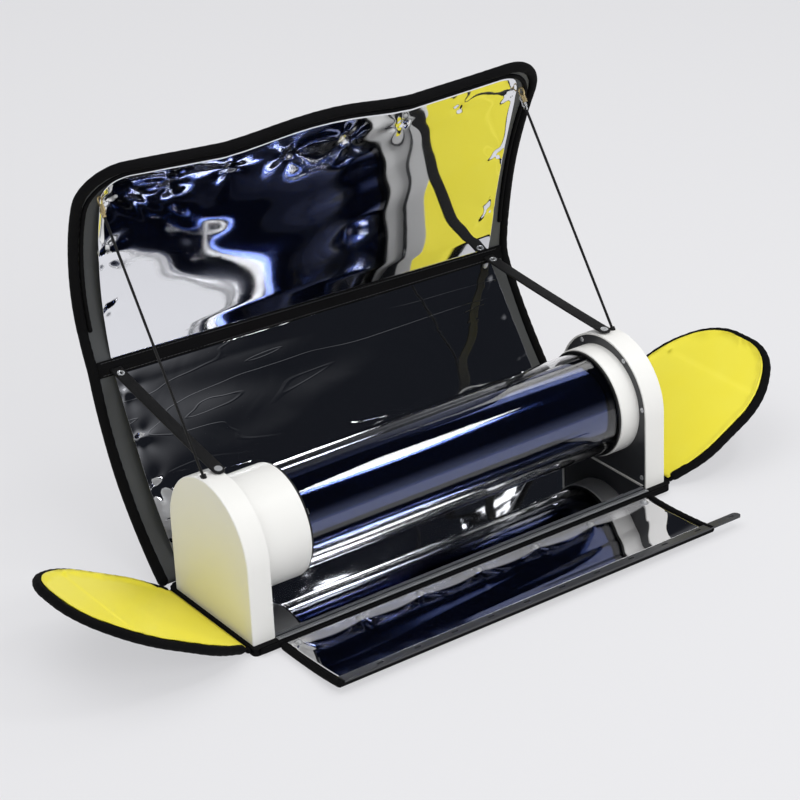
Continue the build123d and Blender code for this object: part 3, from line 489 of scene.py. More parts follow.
def paint(piece: Piece, *finishes: Finish) -> Piece:
    """Gives a piece its finishes, in the order of its material numbers.

    Args:
        piece: what is dressed.
        finishes: one for each material number.

    Returns:
        The same piece.
    """
    slots = piece.data.materials
    while len(slots) > len(finishes):
        slots.pop()
    while len(slots) < len(finishes):
        slots.append(None)
    for number, finish in enumerate(finishes):
        slots[number] = finish.material()
    return piece


def quads_of(number: Points) -> Points:
    """The four-sided faces of a grid of vertex numbers."""
    return np.stack([number[:-1, :-1], number[1:, :-1], number[1:, 1:], number[:-1, 1:]], -1).reshape(-1, 4)


def each(way: Sequence[float], places: Sequence) -> Points:
    """The same direction for every place."""
    return np.tile(way, (len(places), 1))


def slab(name: str, front: Points, back: Points, uv: Points) -> Piece:
    """Closed sheet between two grids of points. Its front faces have material 0, the others 1.

    Args:
        name: the piece's name.
        front: rows by columns by 3.
        back: the same points on the other side.
        uv: rows by columns by 2, in metres.

    Returns:
        The object.
    """
    nu, nv = front.shape[:2]
    number = np.arange(nu * nv).reshape(nu, nv)
    quads = quads_of(number)
    across = front[1:, :-1] - front[:-1, :-1]
    along = front[:-1, 1:] - front[:-1, :-1]
    facing = (np.cross(across, along) * (front - back)[:-1, :-1]).sum()
    rim = np.concatenate([number[:-1, 0], number[-1, :-1], number[:0:-1, -1], number[0, :0:-1]])
    following = np.roll(rim, -1)
    walls = np.stack([rim, rim + nu * nv, following + nu * nv, following], -1)
    faces = np.concatenate([quads, quads[:, ::-1] + nu * nv, walls])
    if facing < 0:
        faces = faces[:, ::-1]
    points = np.concatenate([front.reshape(-1, 3), back.reshape(-1, 3)])
    flat = uv.reshape(-1, 2)
    made = mesh_object(name, points, faces, np.concatenate([flat, flat]))
    marks = np.ones(len(faces), np.int32)
    marks[: len(quads)] = 0
    made.data.materials.append(None)
    made.data.materials.append(None)
    made.data.polygons.foreach_set("material_index", marks)
    return made


def runs_along(path: Points) -> Points:
    """Length along a line at each of its points."""
    return np.concatenate([[0], np.cumsum(np.linalg.norm(np.diff(path, axis=0), axis=1))])


def resample(path: Points, step: float) -> Points:
    """The same line with points about step apart.

    Args:
        path: points along a line.
        step: distance between the new points.

    Returns:
        Points along the line.
    """
    runs = runs_along(path)
    count = max(2, int(round(runs[-1] / step)) + 1)
    at = np.linspace(0, runs[-1], count)
    return np.stack([np.interp(at, runs, path[:, k]) for k in range(path.shape[1])], -1)


def rounded(points: Sequence[Sequence[float]], share: float = 0.45, largest: float = 1.0) -> Points:
    """Straight runs joined by tangent arcs, sampled.

    Args:
        points: the corners.
        share: how much of the shorter run an arc takes up.
        largest: no radius is more than this.

    Returns:
        Points along the line.
    """
    corners = np.asarray(points, float)
    out = [corners[0]]
    for before, corner, after in zip(corners, corners[1:], corners[2:]):
        a, b = before - corner, after - corner
        la, lb = np.linalg.norm(a), np.linalg.norm(b)
        a, b = a / la, b / lb
        turn = pi - np.arccos(np.clip(a @ b, -1, 1))
        if turn < radians(0.5):
            continue
        reach = min(share * min(la, lb), largest * tan(turn / 2))
        first, last = corner + a * reach, corner + b * reach
        middle = (a + b) / np.linalg.norm(a + b)
        r = reach / tan(turn / 2)
        centre = corner + middle * (r / cos(turn / 2))
        for k in np.linspace(0, 1, max(3, int(degrees(turn) / 4) + 2)):
            way = (first - centre) * sin((1 - k) * turn) + (last - centre) * sin(k * turn)
            out.append(centre + way / sin(turn))
    out.append(corners[-1])
    return np.array(out)


@dataclass(frozen=True)
class Puckers:
    """How a sewn roll draws in at its stitches."""

    depth: float = 0.05
    pitch: float = 0.011
    phase: float = 0.0

    def at(self, run: Points, angle: Points) -> Points:
        """Share of the radius at each run and angle.

        Args:
            run: length along the roll.
            angle: angle round it.

        Returns:
            Shares of the radius, round 1.
        """
        wander = 0.9 * np.sin(2 * pi * run / (self.pitch * 3.7) + self.phase)
        wave = np.sin(2 * pi * run / self.pitch + wander + self.phase)
        broad = np.sin(2 * pi * run / (self.pitch * 9.3) + 2 * self.phase)
        return 1 + self.depth * (wave * (0.6 + 0.4 * np.cos(angle)) + 0.6 * broad)


def roll(
    name: str, path: Points, radius: float, puckers: Puckers = Puckers(), sides: int = 16, step: float = 0.003
) -> Piece:
    """Padded roll along a path, closed at both ends.

    Args:
        name: the piece's name.
        path: points along its middle.
        radius: its mean radius.
        puckers: how it draws in.
        sides: faces round it.
        step: distance between its rings.

    Returns:
        The object.
    """
    path = resample(np.asarray(path, float), step)
    ways = np.gradient(path, axis=0)
    ways /= np.linalg.norm(ways, axis=1)[:, None]
    runs = runs_along(path)
    side = np.cross(ways[0], (0.0, 0.0, 1.0))
    if np.linalg.norm(side) < 0.1:
        side = np.cross(ways[0], (0.0, 1.0, 0.0))
    angles = np.linspace(0, 2 * pi, sides, endpoint=False)
    rings, uv = [], []
    cap = [(0.5, 0.87), (0.77, 0.64), (0.94, 0.34)]
    steps = [(0, -ahead, share) for ahead, share in reversed(cap)]
    steps += [(k, 0.0, 1.0) for k in range(len(path))]
    steps += [(len(path) - 1, ahead, share) for ahead, share in cap]
    for k, ahead, share in steps:
        side = side - ways[k] * (side @ ways[k])
        side /= np.linalg.norm(side)
        up = np.cross(side, ways[k])
        r = radius * share * puckers.at(np.full(sides, runs[k]), angles)
        middle = path[k] + ways[k] * ahead * radius
        rings.append(middle + np.outer(np.cos(angles) * r, side) + np.outer(np.sin(angles) * r, up))
        uv.append(np.stack([np.full(sides, runs[k] + ahead * radius), angles * radius], -1))
    count = len(rings)
    number = np.arange(count * sides).reshape(count, sides)
    ahead_of = np.roll(number, -1, axis=1)
    quads = np.stack([number[:-1], number[1:], ahead_of[1:], ahead_of[:-1]], -1).reshape(-1, 4)
    poles = [path[0] - ways[0] * radius, path[-1] + ways[-1] * radius]
    faces = [tuple(q) for q in quads]
    faces += [(count * sides, number[0, k], ahead_of[0, k]) for k in range(sides)]
    faces += [(count * sides + 1, ahead_of[-1, k], number[-1, k]) for k in range(sides)]
    vertices = np.concatenate([*rings, poles])
    ends = [[-radius, 0.0], [runs[-1] + radius, 0.0]]
    return mesh_object(name, vertices, faces, np.concatenate([*uv, ends]))


def lathe(name: str, profile: Sequence[Pair], sides: int = 20) -> Piece:
    """Turned shape on the Z axis. A profile that starts and ends on the axis is closed there.

    Args:
        name: the object's name.
        profile: radius and height, from the bottom up round the outside.
        sides: faces round it.

    Returns:
        The object.
    """
    angles = np.linspace(0, 2 * pi, sides, endpoint=False)
    rings = [np.stack([r * np.cos(angles), r * np.sin(angles), np.full(sides, h)], -1) for r, h in profile]
    number = np.arange(len(rings) * sides).reshape(-1, sides)
    beside = np.roll(number, -1, axis=1)
    quads = np.stack([number[:-1], beside[:-1], beside[1:], number[1:]], -1).reshape(-1, 4)
    made = mesh_object(name, np.concatenate(rings), quads)
    tidy = bmesh.new()
    tidy.from_mesh(made.data)
    bmesh.ops.remove_doubles(tidy, verts=tidy.verts, dist=1e-6)
    bmesh.ops.recalc_face_normals(tidy, faces=tidy.faces)
    tidy.to_mesh(made.data)
    tidy.free()
    return made


def plain(carrier: Piece) -> Piece:
    """Turns an object with modifiers into a plain mesh of the same name.

    Args:
        carrier: the object, which is removed.

    Returns:
        The plain object.
    """
    graph = bpy.context.evaluated_depsgraph_get()
    mesh = bpy.data.meshes.new_from_object(carrier.evaluated_get(graph), depsgraph=graph)
    name = carrier.name
    carrier.name = name + "_carrier"
    bpy.data.objects.remove(carrier, do_unlink=True)
    made = bpy.data.objects.new(name, mesh)
    bpy.context.scene.collection.objects.link(made)
    return made


def set_input(modifier: bpy.types.Modifier, name: str, value: object) -> None:
    """Sets a node modifier's input by the socket's identifier.

    Args:
        modifier: a Geometry Nodes modifier.
        name: the socket's name.
        value: what it is set to.
    """
    for item in modifier.node_group.interface.items_tree:
        if item.item_type == "SOCKET" and item.in_out == "INPUT" and item.name == name:
            modifier[item.identifier] = value


@dataclass
class Repeat:
    """Geometry Nodes tree that sets a pattern on points, turned to face and run as each point says."""

    label: str
    finish: Finish

    def tree(self) -> Tree:
        """Instances on the points, made real, with the finish set."""
        made = bpy.data.node_groups.new(self.label, "GeometryNodeTree")
        face = made.interface
        face.new_socket("Geometry", in_out="INPUT", socket_type="NodeSocketGeometry")
        face.new_socket("Pattern", in_out="INPUT", socket_type="NodeSocketObject")
        face.new_socket("Size", in_out="INPUT", socket_type="NodeSocketFloat")
        face.new_socket("Geometry", in_out="OUTPUT", socket_type="NodeSocketGeometry")
        given = add(made, "NodeGroupInput")
        facing, running = (
            add(made, "GeometryNodeInputNamedAttribute", {"Name": word}, data_type="FLOAT_VECTOR").outputs[0]
            for word in ("facing", "running")
        )
        turn = add(
            made,
            "FunctionNodeAxesToRotation",
            {"Primary Axis": facing, "Secondary Axis": running},
            primary_axis="Z",
            secondary_axis="X",
        )
        pattern = add(made, "GeometryNodeObjectInfo", {"Object": given.outputs["Pattern"]})
        size = add(made, "ShaderNodeCombineXYZ", {k: given.outputs["Size"] for k in ("X", "Y", "Z")})
        copies = add(
            made,
            "GeometryNodeInstanceOnPoints",
            {
                "Points": given.outputs["Geometry"],
                "Instance": pattern.outputs["Geometry"],
                "Rotation": turn.outputs[0],
                "Scale": size.outputs[0],
            },
        )
        real = add(made, "GeometryNodeRealizeInstances", {"Geometry": copies.outputs[0]})
        coloured = add(
            made, "GeometryNodeSetMaterial", {"Geometry": real.outputs[0], "Material": self.finish.material()}
        )
        add(made, "NodeGroupOutput", {"Geometry": coloured.outputs[0]})
        return made

    def on(
        self, name: str, pattern: Piece, places: Points, facing: Points, running: Points, size: float = 1.0
    ) -> Piece:
        """Sets the pattern on places.

        Args:
            name: the new piece's name.
            pattern: the shape that repeats, standing on Z.
            places: one point for each copy.
            facing: where each copy's Z points.
            running: where each copy's X points.
            size: scale of every copy.

        Returns:
            The copies as one plain mesh.
        """
        carrier = mesh_object(name, places, [])
        for word, values in (("facing", facing), ("running", running)):
            layer = carrier.data.attributes.new(word, "FLOAT_VECTOR", "POINT")
            layer.data.foreach_set("vector", np.asarray(values, np.float32).ravel())
        modifier = carrier.modifiers.new(self.label, "NODES")
        modifier.node_group = self.tree()
        set_input(modifier, "Pattern", pattern)
        set_input(modifier, "Size", size)
        carrier.update_tag()
        bpy.context.view_layer.update()
        made = plain(carrier)
        made.data.polygons.foreach_set("use_smooth", [True] * len(made.data.polygons))
        return made


def discard(*patterns: Piece) -> None:
    """Removes pattern objects once their copies are made."""
    for pattern in patterns:
        bpy.data.objects.remove(pattern, do_unlink=True)


@dataclass(frozen=True)
class Ripples:
    """Unevenness of a film: waves in seeded directions, with their lengths between two limits."""

    height: float
    shortest: float
    longest: float
    seed: int
    count: int = 16
    lean: float = 0.0  # the waves' crests mostly run this many degrees off the U axis
    spread: float = 90.0

    def at(self, u: Points, v: Points) -> Points:
        """Height at each place.

        Args:
            u: places across.
            v: places along.

        Returns:
            Heights, up and down from 0.
        """
        pick = np.random.default_rng(self.seed)
        total = np.zeros_like(u)
        for _ in range(self.count):
            length = self.shortest * (self.longest / self.shortest) ** pick.random()
            way = radians(self.lean + 90 + self.spread * (2 * pick.random() - 1))
            phase = 2 * pi * pick.random()
            wave = np.sin(2 * pi * (u * cos(way) + v * sin(way)) / length + phase)
            total += wave * (length / self.longest)
        return self.height * total / sqrt(self.count)


# The grill's own lines


class Bow:
    """Arc from a start to an end point (y, z), its middle pushed away from the tube."""

    def __init__(self, start: Pair, end: Pair, rise: float) -> None:
        """Works out the arc's centre, radius and angles.

        Args:
            start: first end (y, z).
            end: last end (y, z).
            rise: how far the middle is pushed away.
        """
        chord = hypot(end[0] - start[0], end[1] - start[1])
        out = ((end[1] - start[1]) / chord, -(end[0] - start[0]) / chord)
        self.radius = (chord**2 / 4 + rise**2) / (2 * rise)
        reach = self.radius - rise
        self.centre = ((start[0] + end[0]) / 2 - out[0] * reach, (start[1] + end[1]) / 2 - out[1] * reach)
        half, middle = asin(chord / 2 / self.radius), atan2(out[1], out[0])
        self.first, self.last = middle - half, middle + half

    def at(self, share: Points, inwards: Points | float = 0.0) -> tuple[Points, Points]:
        """Points (y, z) and unit directions towards the tube at shares of the arc.

        Args:
            share: 0 at the start, 1 at the end.
            inwards: distance towards the tube.

        Returns:
            The points and the directions.
        """
        angle = self.first + (self.last - self.first) * np.asarray(share, float)
        way = np.stack([np.cos(angle), np.sin(angle)], -1)
        reach = (self.radius - np.asarray(inwards, float))[..., None]
        return np.array(self.centre) + way * reach, -way

    def share_at(self, z: Points) -> Points:
        """Share of the arc at a height."""
        angle = np.arcsin(np.clip((np.asarray(z) - self.centre[1]) / self.radius, -1, 1))
        return (angle - self.first) / (self.last - self.first)

    @property
    def length(self) -> float:
        """Length of the arc."""
        return self.radius * (self.last - self.first)


@dataclass(frozen=True)
class LidShape:
    """Where the open lid's two segments run. Pairs are for the left and the right edge."""

    length: float = 0.5974
    hinge: Pair = (0.0942, 0.0056)
    lower_chord: Pair = (0.2589, 0.2453)
    lower_lean: Pair = (28.8, 35.9)
    lower_rise: Pair = (0.021, 0.012)
    upper_height: Pair = (0.243, 0.271)
    upper_reach: Pair = (0.024, 0.088)
    upper_rise: Pair = (0.034, 0.017)
    thickness: float = 0.004
    wave: float = 0.011
    wave_length: float = 0.268
    corner: float = 0.045

    def mix(self, pair: Pair, x: float) -> float:
        """Value at x between the left and right edges' values."""
        return pair[0] + (pair[1] - pair[0]) * (x / self.length + 0.5)

    def fold(self, x: float) -> Pair:
        """The fold line at x, as (y, z)."""
        ends = [
            (self.hinge[0] + c * sin(radians(a)), self.hinge[1] + c * cos(radians(a)))
            for c, a in zip(self.lower_chord, self.lower_lean)
        ]
        return (self.mix((ends[0][0], ends[1][0]), x), self.mix((ends[0][1], ends[1][1]), x))

    def lower(self, x: float) -> Bow:
        """The lower segment's section at x."""
        return Bow(self.hinge, self.fold(x), self.mix(self.lower_rise, x))

    def upper(self, x: float) -> Bow:
        """The upper segment's section at x."""
        y, z = self.fold(x)
        top = (y - self.mix(self.upper_reach, x), z + self.mix(self.upper_height, x))
        return Bow((y, z), top, self.mix(self.upper_rise, x))

    @property
    def top(self) -> float:
        """Mean height of the wavy top edge."""
        return sum(self.fold(s * self.length / 2)[1] + h for s, h in zip((-1, 1), self.upper_height)) / 2

    def outline(self, inset: float, start: float) -> Points:
        """The upper segment's edge (x, z) up the left side, over the top and down the right side.

        Args:
            inset: how far it is drawn in.
            start: how far over the fold it starts.

        Returns:
            Points along the edge.
        """
        half, top = self.length / 2 - inset, self.top - inset
        sides = []
        for x in (-half, half):
            low = self.fold(x)[1] + start
            sides.append([(x, low), (x, low + (top - low) * 0.45), (x, top + self.wave)])
        waves = [
            (-self.wave_length / 2, top - self.wave),
            (0.0, top + self.wave),
            (self.wave_length / 2, top - self.wave),
        ]
        corners = sides[0] + waves + sides[1][::-1]
        line = rounded(corners, largest=10.0)
        tight = rounded(corners, largest=self.corner)
        away = abs(line[:, 0]) > self.wave_length / 2 + 0.01
        middle = line[~away]
        left = tight[(abs(tight[:, 0]) > self.wave_length / 2 + 0.01) & (tight[:, 0] < 0)]
        right = tight[(abs(tight[:, 0]) > self.wave_length / 2 + 0.01) & (tight[:, 0] > 0)]
        return np.concatenate([left, middle, right])

    def columns(self, half: float, step: float) -> Points:
        """Places along X, closer together towards the rounded corners.

        Args:
            half: half the width they fill.
            step: distance between them in the middle.

        Returns:
            The places.
        """
        turn = np.linspace(0, pi / 2, 12)
        end = half - self.corner * (1 - np.cos(turn))
        count = int(2 * (half - self.corner) / step)
        inner = np.linspace(-(half - self.corner), half - self.corner, count)[1:-1]
        return np.concatenate([-end, inner, end[::-1]])

    def tops(self, xs: Points, inset: float) -> Points:
        """Height of the upper segment's edge at each x.

        Args:
            xs: places along X.
            inset: how far the edge is drawn in.

        Returns:
            The heights.
        """
        edge = self.outline(inset, 0.02)
        edge = edge[edge[:, 1] > self.top - 3 * self.corner]
        order = np.argsort(edge[:, 0], kind="stable")
        return np.interp(xs, edge[order, 0], edge[order, 1])


Section = Callable[[float], Bow]


def surface(section: Section, xs: Points, shares: Points, lift: Points | float) -> tuple[Points, Points]:
    """Grid on a lid segment.

    Args:
        section: gives the segment's arc at x.
        xs: the columns' places.
        shares: for each column, the shares of the arc for its rows.
        lift: height towards the tube, one number or a grid.

    Returns:
        The points, and the length along the arc of each.
    """
    lifts = np.broadcast_to(lift, shares.shape)
    points, runs = [], []
    for x, share, raised in zip(xs, shares, lifts):
        bow = section(float(x))
        flat, _ = bow.at(share, raised)
        points.append(np.column_stack([np.full(len(share), x), flat]))
        runs.append(share * bow.length)
    return np.array(points), np.array(runs)


def laid(xs: Points, runs: Points) -> Points:
    """The grid's places on its surface, in metres: along X and along the arc."""
    return np.stack([np.tile(xs[:, None], (1, runs.shape[1])), runs], -1)


LID = LidShape()


@dataclass
class Lid:
    """The two-part lid: padded cloth, wavy mirror film, rolled edges, eyelets and the seam at the fold."""

    shape: LidShape = LID
    border: float = 0.025
    top_border: float = 0.0105
    eyelet_border: float = 0.025
    fold_margin: float = 0.016
    seam_reach: float = 0.009
    film: float = 0.0008
    film_corner: float = 0.014
    edge_r: float = 0.0062
    eyelet_inset: float = 0.008
    rows: int = 60
    upper_ripples: Ripples = Ripples(0.0006, 0.05, 0.3, 7, lean=12, spread=14)
    lower_ripples: Ripples = Ripples(0.0012, 0.05, 0.22, 11, lean=12, spread=30)
    slack: float = 0.0016  # how far the films lie off the padding on average
    dimple: float = 0.006  # round each eyelet, where the film is pressed down
    pull_height: float = 0.0007
    pull_reach: float = 0.022
    fan_height: float = 0.0042
    fan_reach: float = 0.13
    fan_folds: tuple[int, ...] = (9, 14, 23, 31)
    stretch: float = 0.008  # how far the taut films stand off the hollow of the padding in their middle

    def cloth(self, upper: bool) -> Piece:
        """One segment's padded cloth: grey lining towards the tube, black weave outside.

        Args:
            upper: whether it is the upper segment.

        Returns:
            The cloth.
        """
        shape, name = self.shape, "lid_upper_cloth" if upper else "lid_lower_cloth"
        xs = shape.columns(shape.length / 2, 0.007)
        rise = np.linspace(0, 1, self.rows)
        if upper:
            tops = shape.tops(xs, 0.0)
            shares = np.array([rise * shape.upper(x).share_at(t) for x, t in zip(xs, tops)])
            section: Section = shape.upper
        else:
            start = 0.004 / 0.25
            shares = np.tile(start + rise * (1 - start), (len(xs), 1))
            section = shape.lower
        crown = np.sin(pi * np.linspace(0, 1, len(xs)))[:, None] ** 0.3 * np.sin(pi * rise) ** 0.3
        half = shape.thickness / 2
        front, runs = surface(section, xs, shares, half * (0.7 + 0.3 * crown))
        back, _ = surface(section, xs, shares, -half * (0.7 + 0.3 * crown) - 0.0012 * crown)
        piece = paint(slab(name, front, back, laid(xs, runs)), GREY_LINING, BLACK_WEAVE)
        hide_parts("upper_panel" if upper else "lower_panel")
        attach(piece, "lid_upper" if upper else "lid_lower")
        return piece

    def film_tops(self, x: float) -> float:
        """Height of the upper film's top edge at x, rounded off at its corners."""
        top = float(self.shape.tops(np.array([x]), self.top_border)[0])
        away = max(0.0, abs(x) - (self.shape.length / 2 - self.border - self.film_corner)) / self.film_corner
        return top - self.film_corner * (1 - sqrt(max(0.0, 1 - away * away)))

    def fan(self, xs: Points, runs: Points) -> Points:
        """Long folds that fan out from the left cord's hook, where the film is pulled.

        Args:
            xs: the columns' places.
            runs: length along the arc of each point.

        Returns:
            Height of the folds.
        """
        dx, dv = xs[:, None] - xs[0], runs - runs[:, -1:]
        turn, far = np.arctan2(dv, dx + 0.004), np.hypot(dx, dv)
        folds = sum(np.sin(k * turn + 2.3 * k) / k for k in self.fan_folds)
        return self.fan_height * folds * np.minimum(1, far / 0.05) * np.exp(-far / self.fan_reach)

    def pull(self, xs: Points, runs: Points, places: Iterable[Pair]) -> Points:
        """Folds that run out from eyelets: each one draws the film into rays.

        Args:
            xs: the columns' places.
            runs: length along the arc of each point.
            places: the eyelets, as x and length along the arc.

        Returns:
            Height of the folds.
        """
        total = np.zeros_like(runs)
        for k, (px, run) in enumerate(places):
            dx, dv = xs[:, None] - px, runs - run
            far = np.hypot(dx, dv)
            rays = np.cos(4 * np.arctan2(dv, dx) + 1.7 * k)
            rays *= np.exp(-far / self.pull_reach) * (1 - np.exp(-far / 0.008))
            total += self.pull_height * rays
        return total

    def mirror(self, upper: bool) -> Piece:
        """One segment's mirror film, held by its eyelets and slack between them.

        Args:
            upper: whether it is the upper segment.

        Returns:
            The film.
        """
        shape = self.shape
        half = shape.length / 2 - self.border
        turn = np.linspace(0, pi / 2, 9)
        end = half - self.film_corner * (1 - np.cos(turn))
        inner = np.linspace(-half + self.film_corner, half - self.film_corner, 150)[1:-1]
        xs = np.concatenate([-end, inner, end[::-1]])
        rise = np.linspace(0, 1, 90)
        section: Section = shape.upper if upper else shape.lower
        shares = []
        for x in xs:
            bow = section(float(x))
            near_fold = (self.seam_reach - 0.001) / bow.length
            if upper:
                low, high = near_fold, bow.share_at(self.film_tops(x))
            else:
                low, high = bow.share_at(0.009 + self.fold_margin), 1 - near_fold
            shares.append(low + (high - low) * rise)
        shares = np.array(shares)
        _, runs = surface(section, xs, shares, 0.0)
        field_of = self.upper_ripples if upper else self.lower_ripples
        wavy = field_of.at(np.tile(xs[:, None], (1, len(rise))), runs)
        places = [(x, section(x).share_at(z) * section(x).length) for x, z in self.eyelet_places(upper)]
        wavy += self.pull(xs, runs, places)
        edge = np.minimum(1, np.minimum(rise, 1 - rise) * 12)[None, :]
        wavy = np.maximum((wavy + self.slack) * (0.35 + 0.65 * edge), 0.0)
        if upper:
            wavy += self.fan(xs, runs)
        for px, run in places:
            wavy *= 1 - np.exp(-((np.hypot(xs[:, None] - px, runs - run) / self.dimple) ** 2))
        wavy += self.stretch * 4 * rise * (1 - rise)
        base = shape.thickness / 2 + 0.0004
        front, _ = surface(section, xs, shares, base + self.film + wavy)
        back, _ = surface(section, xs, shares, base + wavy)
        body, finish = ("lid_upper", LID_FILM) if upper else ("lid_lower", FOLDED_FILM)
        piece = paint(slab(f"{body}_film", front, back, laid(xs, runs)), finish, finish)
        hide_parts("upper_mirror" if upper else "lower_mirror")
        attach(piece, body)
        return piece

    def eyelet_places(self, upper: bool) -> list[Pair]:
        """Where the film's eyelets sit, as (x, z).

        Args:
            upper: whether it is the upper segment.

        Returns:
            The places.
        """
        shape, inset = self.shape, self.eyelet_border + self.eyelet_inset
        half = shape.length / 2 - inset
        places: list[Pair] = []
        if upper:
            places += [(-half + 2 * half * k / 7, shape.top - inset) for k in range(8)]
        for side in (-1, 1):
            fold = shape.fold(side * half)[1]
            if upper:
                low, high, shares = fold + self.fold_margin, shape.top - inset, (0.25, 0.62)
            else:
                low, high, shares = 0.041, fold - 2 * self.fold_margin, (0.0, 1 / 3, 2 / 3, 1.0)
            places += [(side * half, low + (high - low) * s) for s in shares]
        return places

    def eyelets(self, upper: bool) -> Piece:
        """Rolled eyelets through the film.

        Args:
            upper: whether it is the upper segment.

        Returns:
            The eyelets as one piece.
        """
        section: Section = self.shape.upper if upper else self.shape.lower
        places, facing = [], []
        for x, z in self.eyelet_places(upper):
            bow = section(x)
            flat, way = bow.at(bow.share_at(z), self.shape.thickness / 2 + self.film + 0.0016)
            places.append((x, *flat))
            facing.append((0.0, *way))
        profile = [(0.0025, -0.0012), (0.0050, -0.0012), (0.0052, 0.0), (0.0046, 0.0010), (0.0037, 0.0014)]
        profile += [(0.0029, 0.0010), (0.0024, 0.0), (0.0025, -0.0012)]
        pattern = lathe("eyelet_pattern", profile, 24)
        name = "lid_upper_eyelets" if upper else "lid_lower_eyelets"
        running = each((1.0, 0.0, 0.0), places)
        piece = Repeat("Eyelets", ZINC).on(name, pattern, np.array(places), np.array(facing), running)
        discard(pattern)
        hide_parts("upper_eyelets" if upper else "lower_eyelets")
        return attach(piece, "lid_upper" if upper else "lid_lower")

    def edge_line(self, inset: float, start: float, lift: float) -> Points:
        """Line round the upper segment's edge, in space.

        Args:
            inset: how far it is drawn in.
            start: how far over the fold it starts.
            lift: height towards the tube.

        Returns:
            Points along the line.
        """
        line = resample(self.shape.outline(inset, start), 0.004)
        points = []
        for x, z in line:
            bow = self.shape.upper(float(x))
            flat, _ = bow.at(bow.share_at(z), lift)
            points.append((x, *flat))
        return np.array(points)

    def upper_edge(self) -> list[Piece]:
        """The thick rolled edge of the upper segment, and the thin cord piping inside it."""
        thick = roll("lid_upper_roll", self.edge_line(0.0, 0.045, 0.0), self.edge_r, Puckers(0.035, 0.013))
        inner = self.edge_line(0.0085, 0.045, 0.0026)
        thin = roll("lid_upper_piping", inner, 0.0027, Puckers(0.06, 0.009, 1.0), sides=10)
        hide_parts("upper_binding")
        for piece in (thick, thin):
            paint(piece, BINDING_WEAVE)
            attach(piece, "lid_upper")
        return [thick, thin]

    def side_line(self, side: Side, above: float) -> Points:
        """A side's edge from the base over the fold, rounded where the segments meet.

        Args:
            side: which side.
            above: how far over the fold it ends.

        Returns:
            Points along the edge.
        """
        x = side.value * self.shape.length / 2
        low, high = self.shape.lower(x), self.shape.upper(x)
        first, _ = low.at(np.linspace(0.035, 1 - 0.014 / low.length, 40))
        last, _ = high.at(np.linspace(0.014 / high.length, above / high.length, 10))
        line = rounded([first[-1], self.shape.fold(x), last[0]], share=0.95)
        flat = np.concatenate([first[:-1], line, last[1:]])
        return np.column_stack([np.full(len(flat), x), flat])

    def side_edges(self) -> None:
        """The rolled edges of the lower segment, which bend over the fold."""
        for side in Side:
            line, puckers = self.side_line(side, 0.048), Puckers(0.035, 0.013, 0.7)
            piece = roll(f"lid_{side.word}_roll", line, self.edge_r * 0.98, puckers)
            paint(piece, BINDING_WEAVE)
            x = side.value * self.shape.length / 2
            y, z = self.shape.fold(x)
            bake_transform(piece)
            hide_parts(f"lower_{side.word}_binding")

    def seam(self) -> None:
        """Black band sewn over the fold, on the side of the tube, with a row of stitches on each segment."""
        shape = self.shape
        half = shape.length / 2 - 0.004
        xs = np.linspace(-half, half, 150)
        reach, lift = self.seam_reach, shape.thickness / 2 + 0.0014
        front, back, uv = [], [], []
        wander = Ripples(0.0007, 0.02, 0.09, 3).at(xs, xs * 0)
        for x, rise in zip(xs, wander):
            low, high = shape.lower(float(x)), shape.upper(float(x))
            for grid, raised in ((front, lift + 0.0009 + max(0.0, rise)), (back, lift - 0.0022)):
                a, _ = low.at(1 - np.linspace(reach, 0.003, 8) / low.length, raised)
                b, _ = high.at(np.linspace(0.003, reach, 8) / high.length, raised)
                across = rounded([a[-1], (a[-1] + b[0]) / 2 + (a[-1] - a[-2] + b[0] - b[1]) * 0.1, b[0]])
                flat = np.concatenate([a[:-1], resample(across, 0.0009)[:6], b])
                flat = flat[np.round(np.linspace(0, len(flat) - 1, 20)).astype(int)]
                grid.append(np.column_stack([np.full(20, x), flat]))
            uv.append(np.column_stack([np.full(20, x), np.linspace(-reach, reach, 20)]))
        piece = slab("lid_fold_band", np.array(front), np.array(back), np.array(uv))
        paint(piece, BINDING_WEAVE, BINDING_WEAVE)
        y, z = shape.fold(0.0)
        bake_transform(piece)
        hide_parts("fold_roll")
        self.stitches(reach - 0.0022, lift + 0.0011)

    def stitches(self, reach: float, lift: float) -> None:
        """Thread along both long edges of the fold's band.

        Args:
            reach: how far from the fold the rows run.
            lift: height towards the tube.
        """
        shape, pitch = self.shape, 0.005
        xs = np.arange(-shape.length / 2 + 0.012, shape.length / 2 - 0.012, pitch)
        loop = np.array([(-0.0018, 0, -0.0002), (0, 0, 0.0003), (0.0018, 0, -0.0002)])
        pattern = roll("stitch_pattern", loop, 0.00035, Puckers(0.0), 6, 0.001)
        for upper, body in ((False, "lid_lower"), (True, "lid_upper")):
            places, facing = [], []
            for x in xs:
                bow = shape.upper(float(x)) if upper else shape.lower(float(x))
                share = reach / bow.length if upper else 1 - reach / bow.length
                flat, way = bow.at(share, lift)
                places.append((x, *flat))
                facing.append((0.0, *way))
            running = each((1.0, 0.0, 0.0), places)
            piece = Repeat("Stitches", THREAD).on(
                f"{body}_stitches", pattern, np.array(places), np.array(facing), running
            )
            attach(piece, body)
        discard(pattern)

    def build(self) -> None:
        """Builds the whole lid."""
        for upper in (False, True):
            self.cloth(upper)
            self.mirror(upper)
            self.eyelets(upper)
        self.upper_edge()
        self.side_edges()
        self.seam()


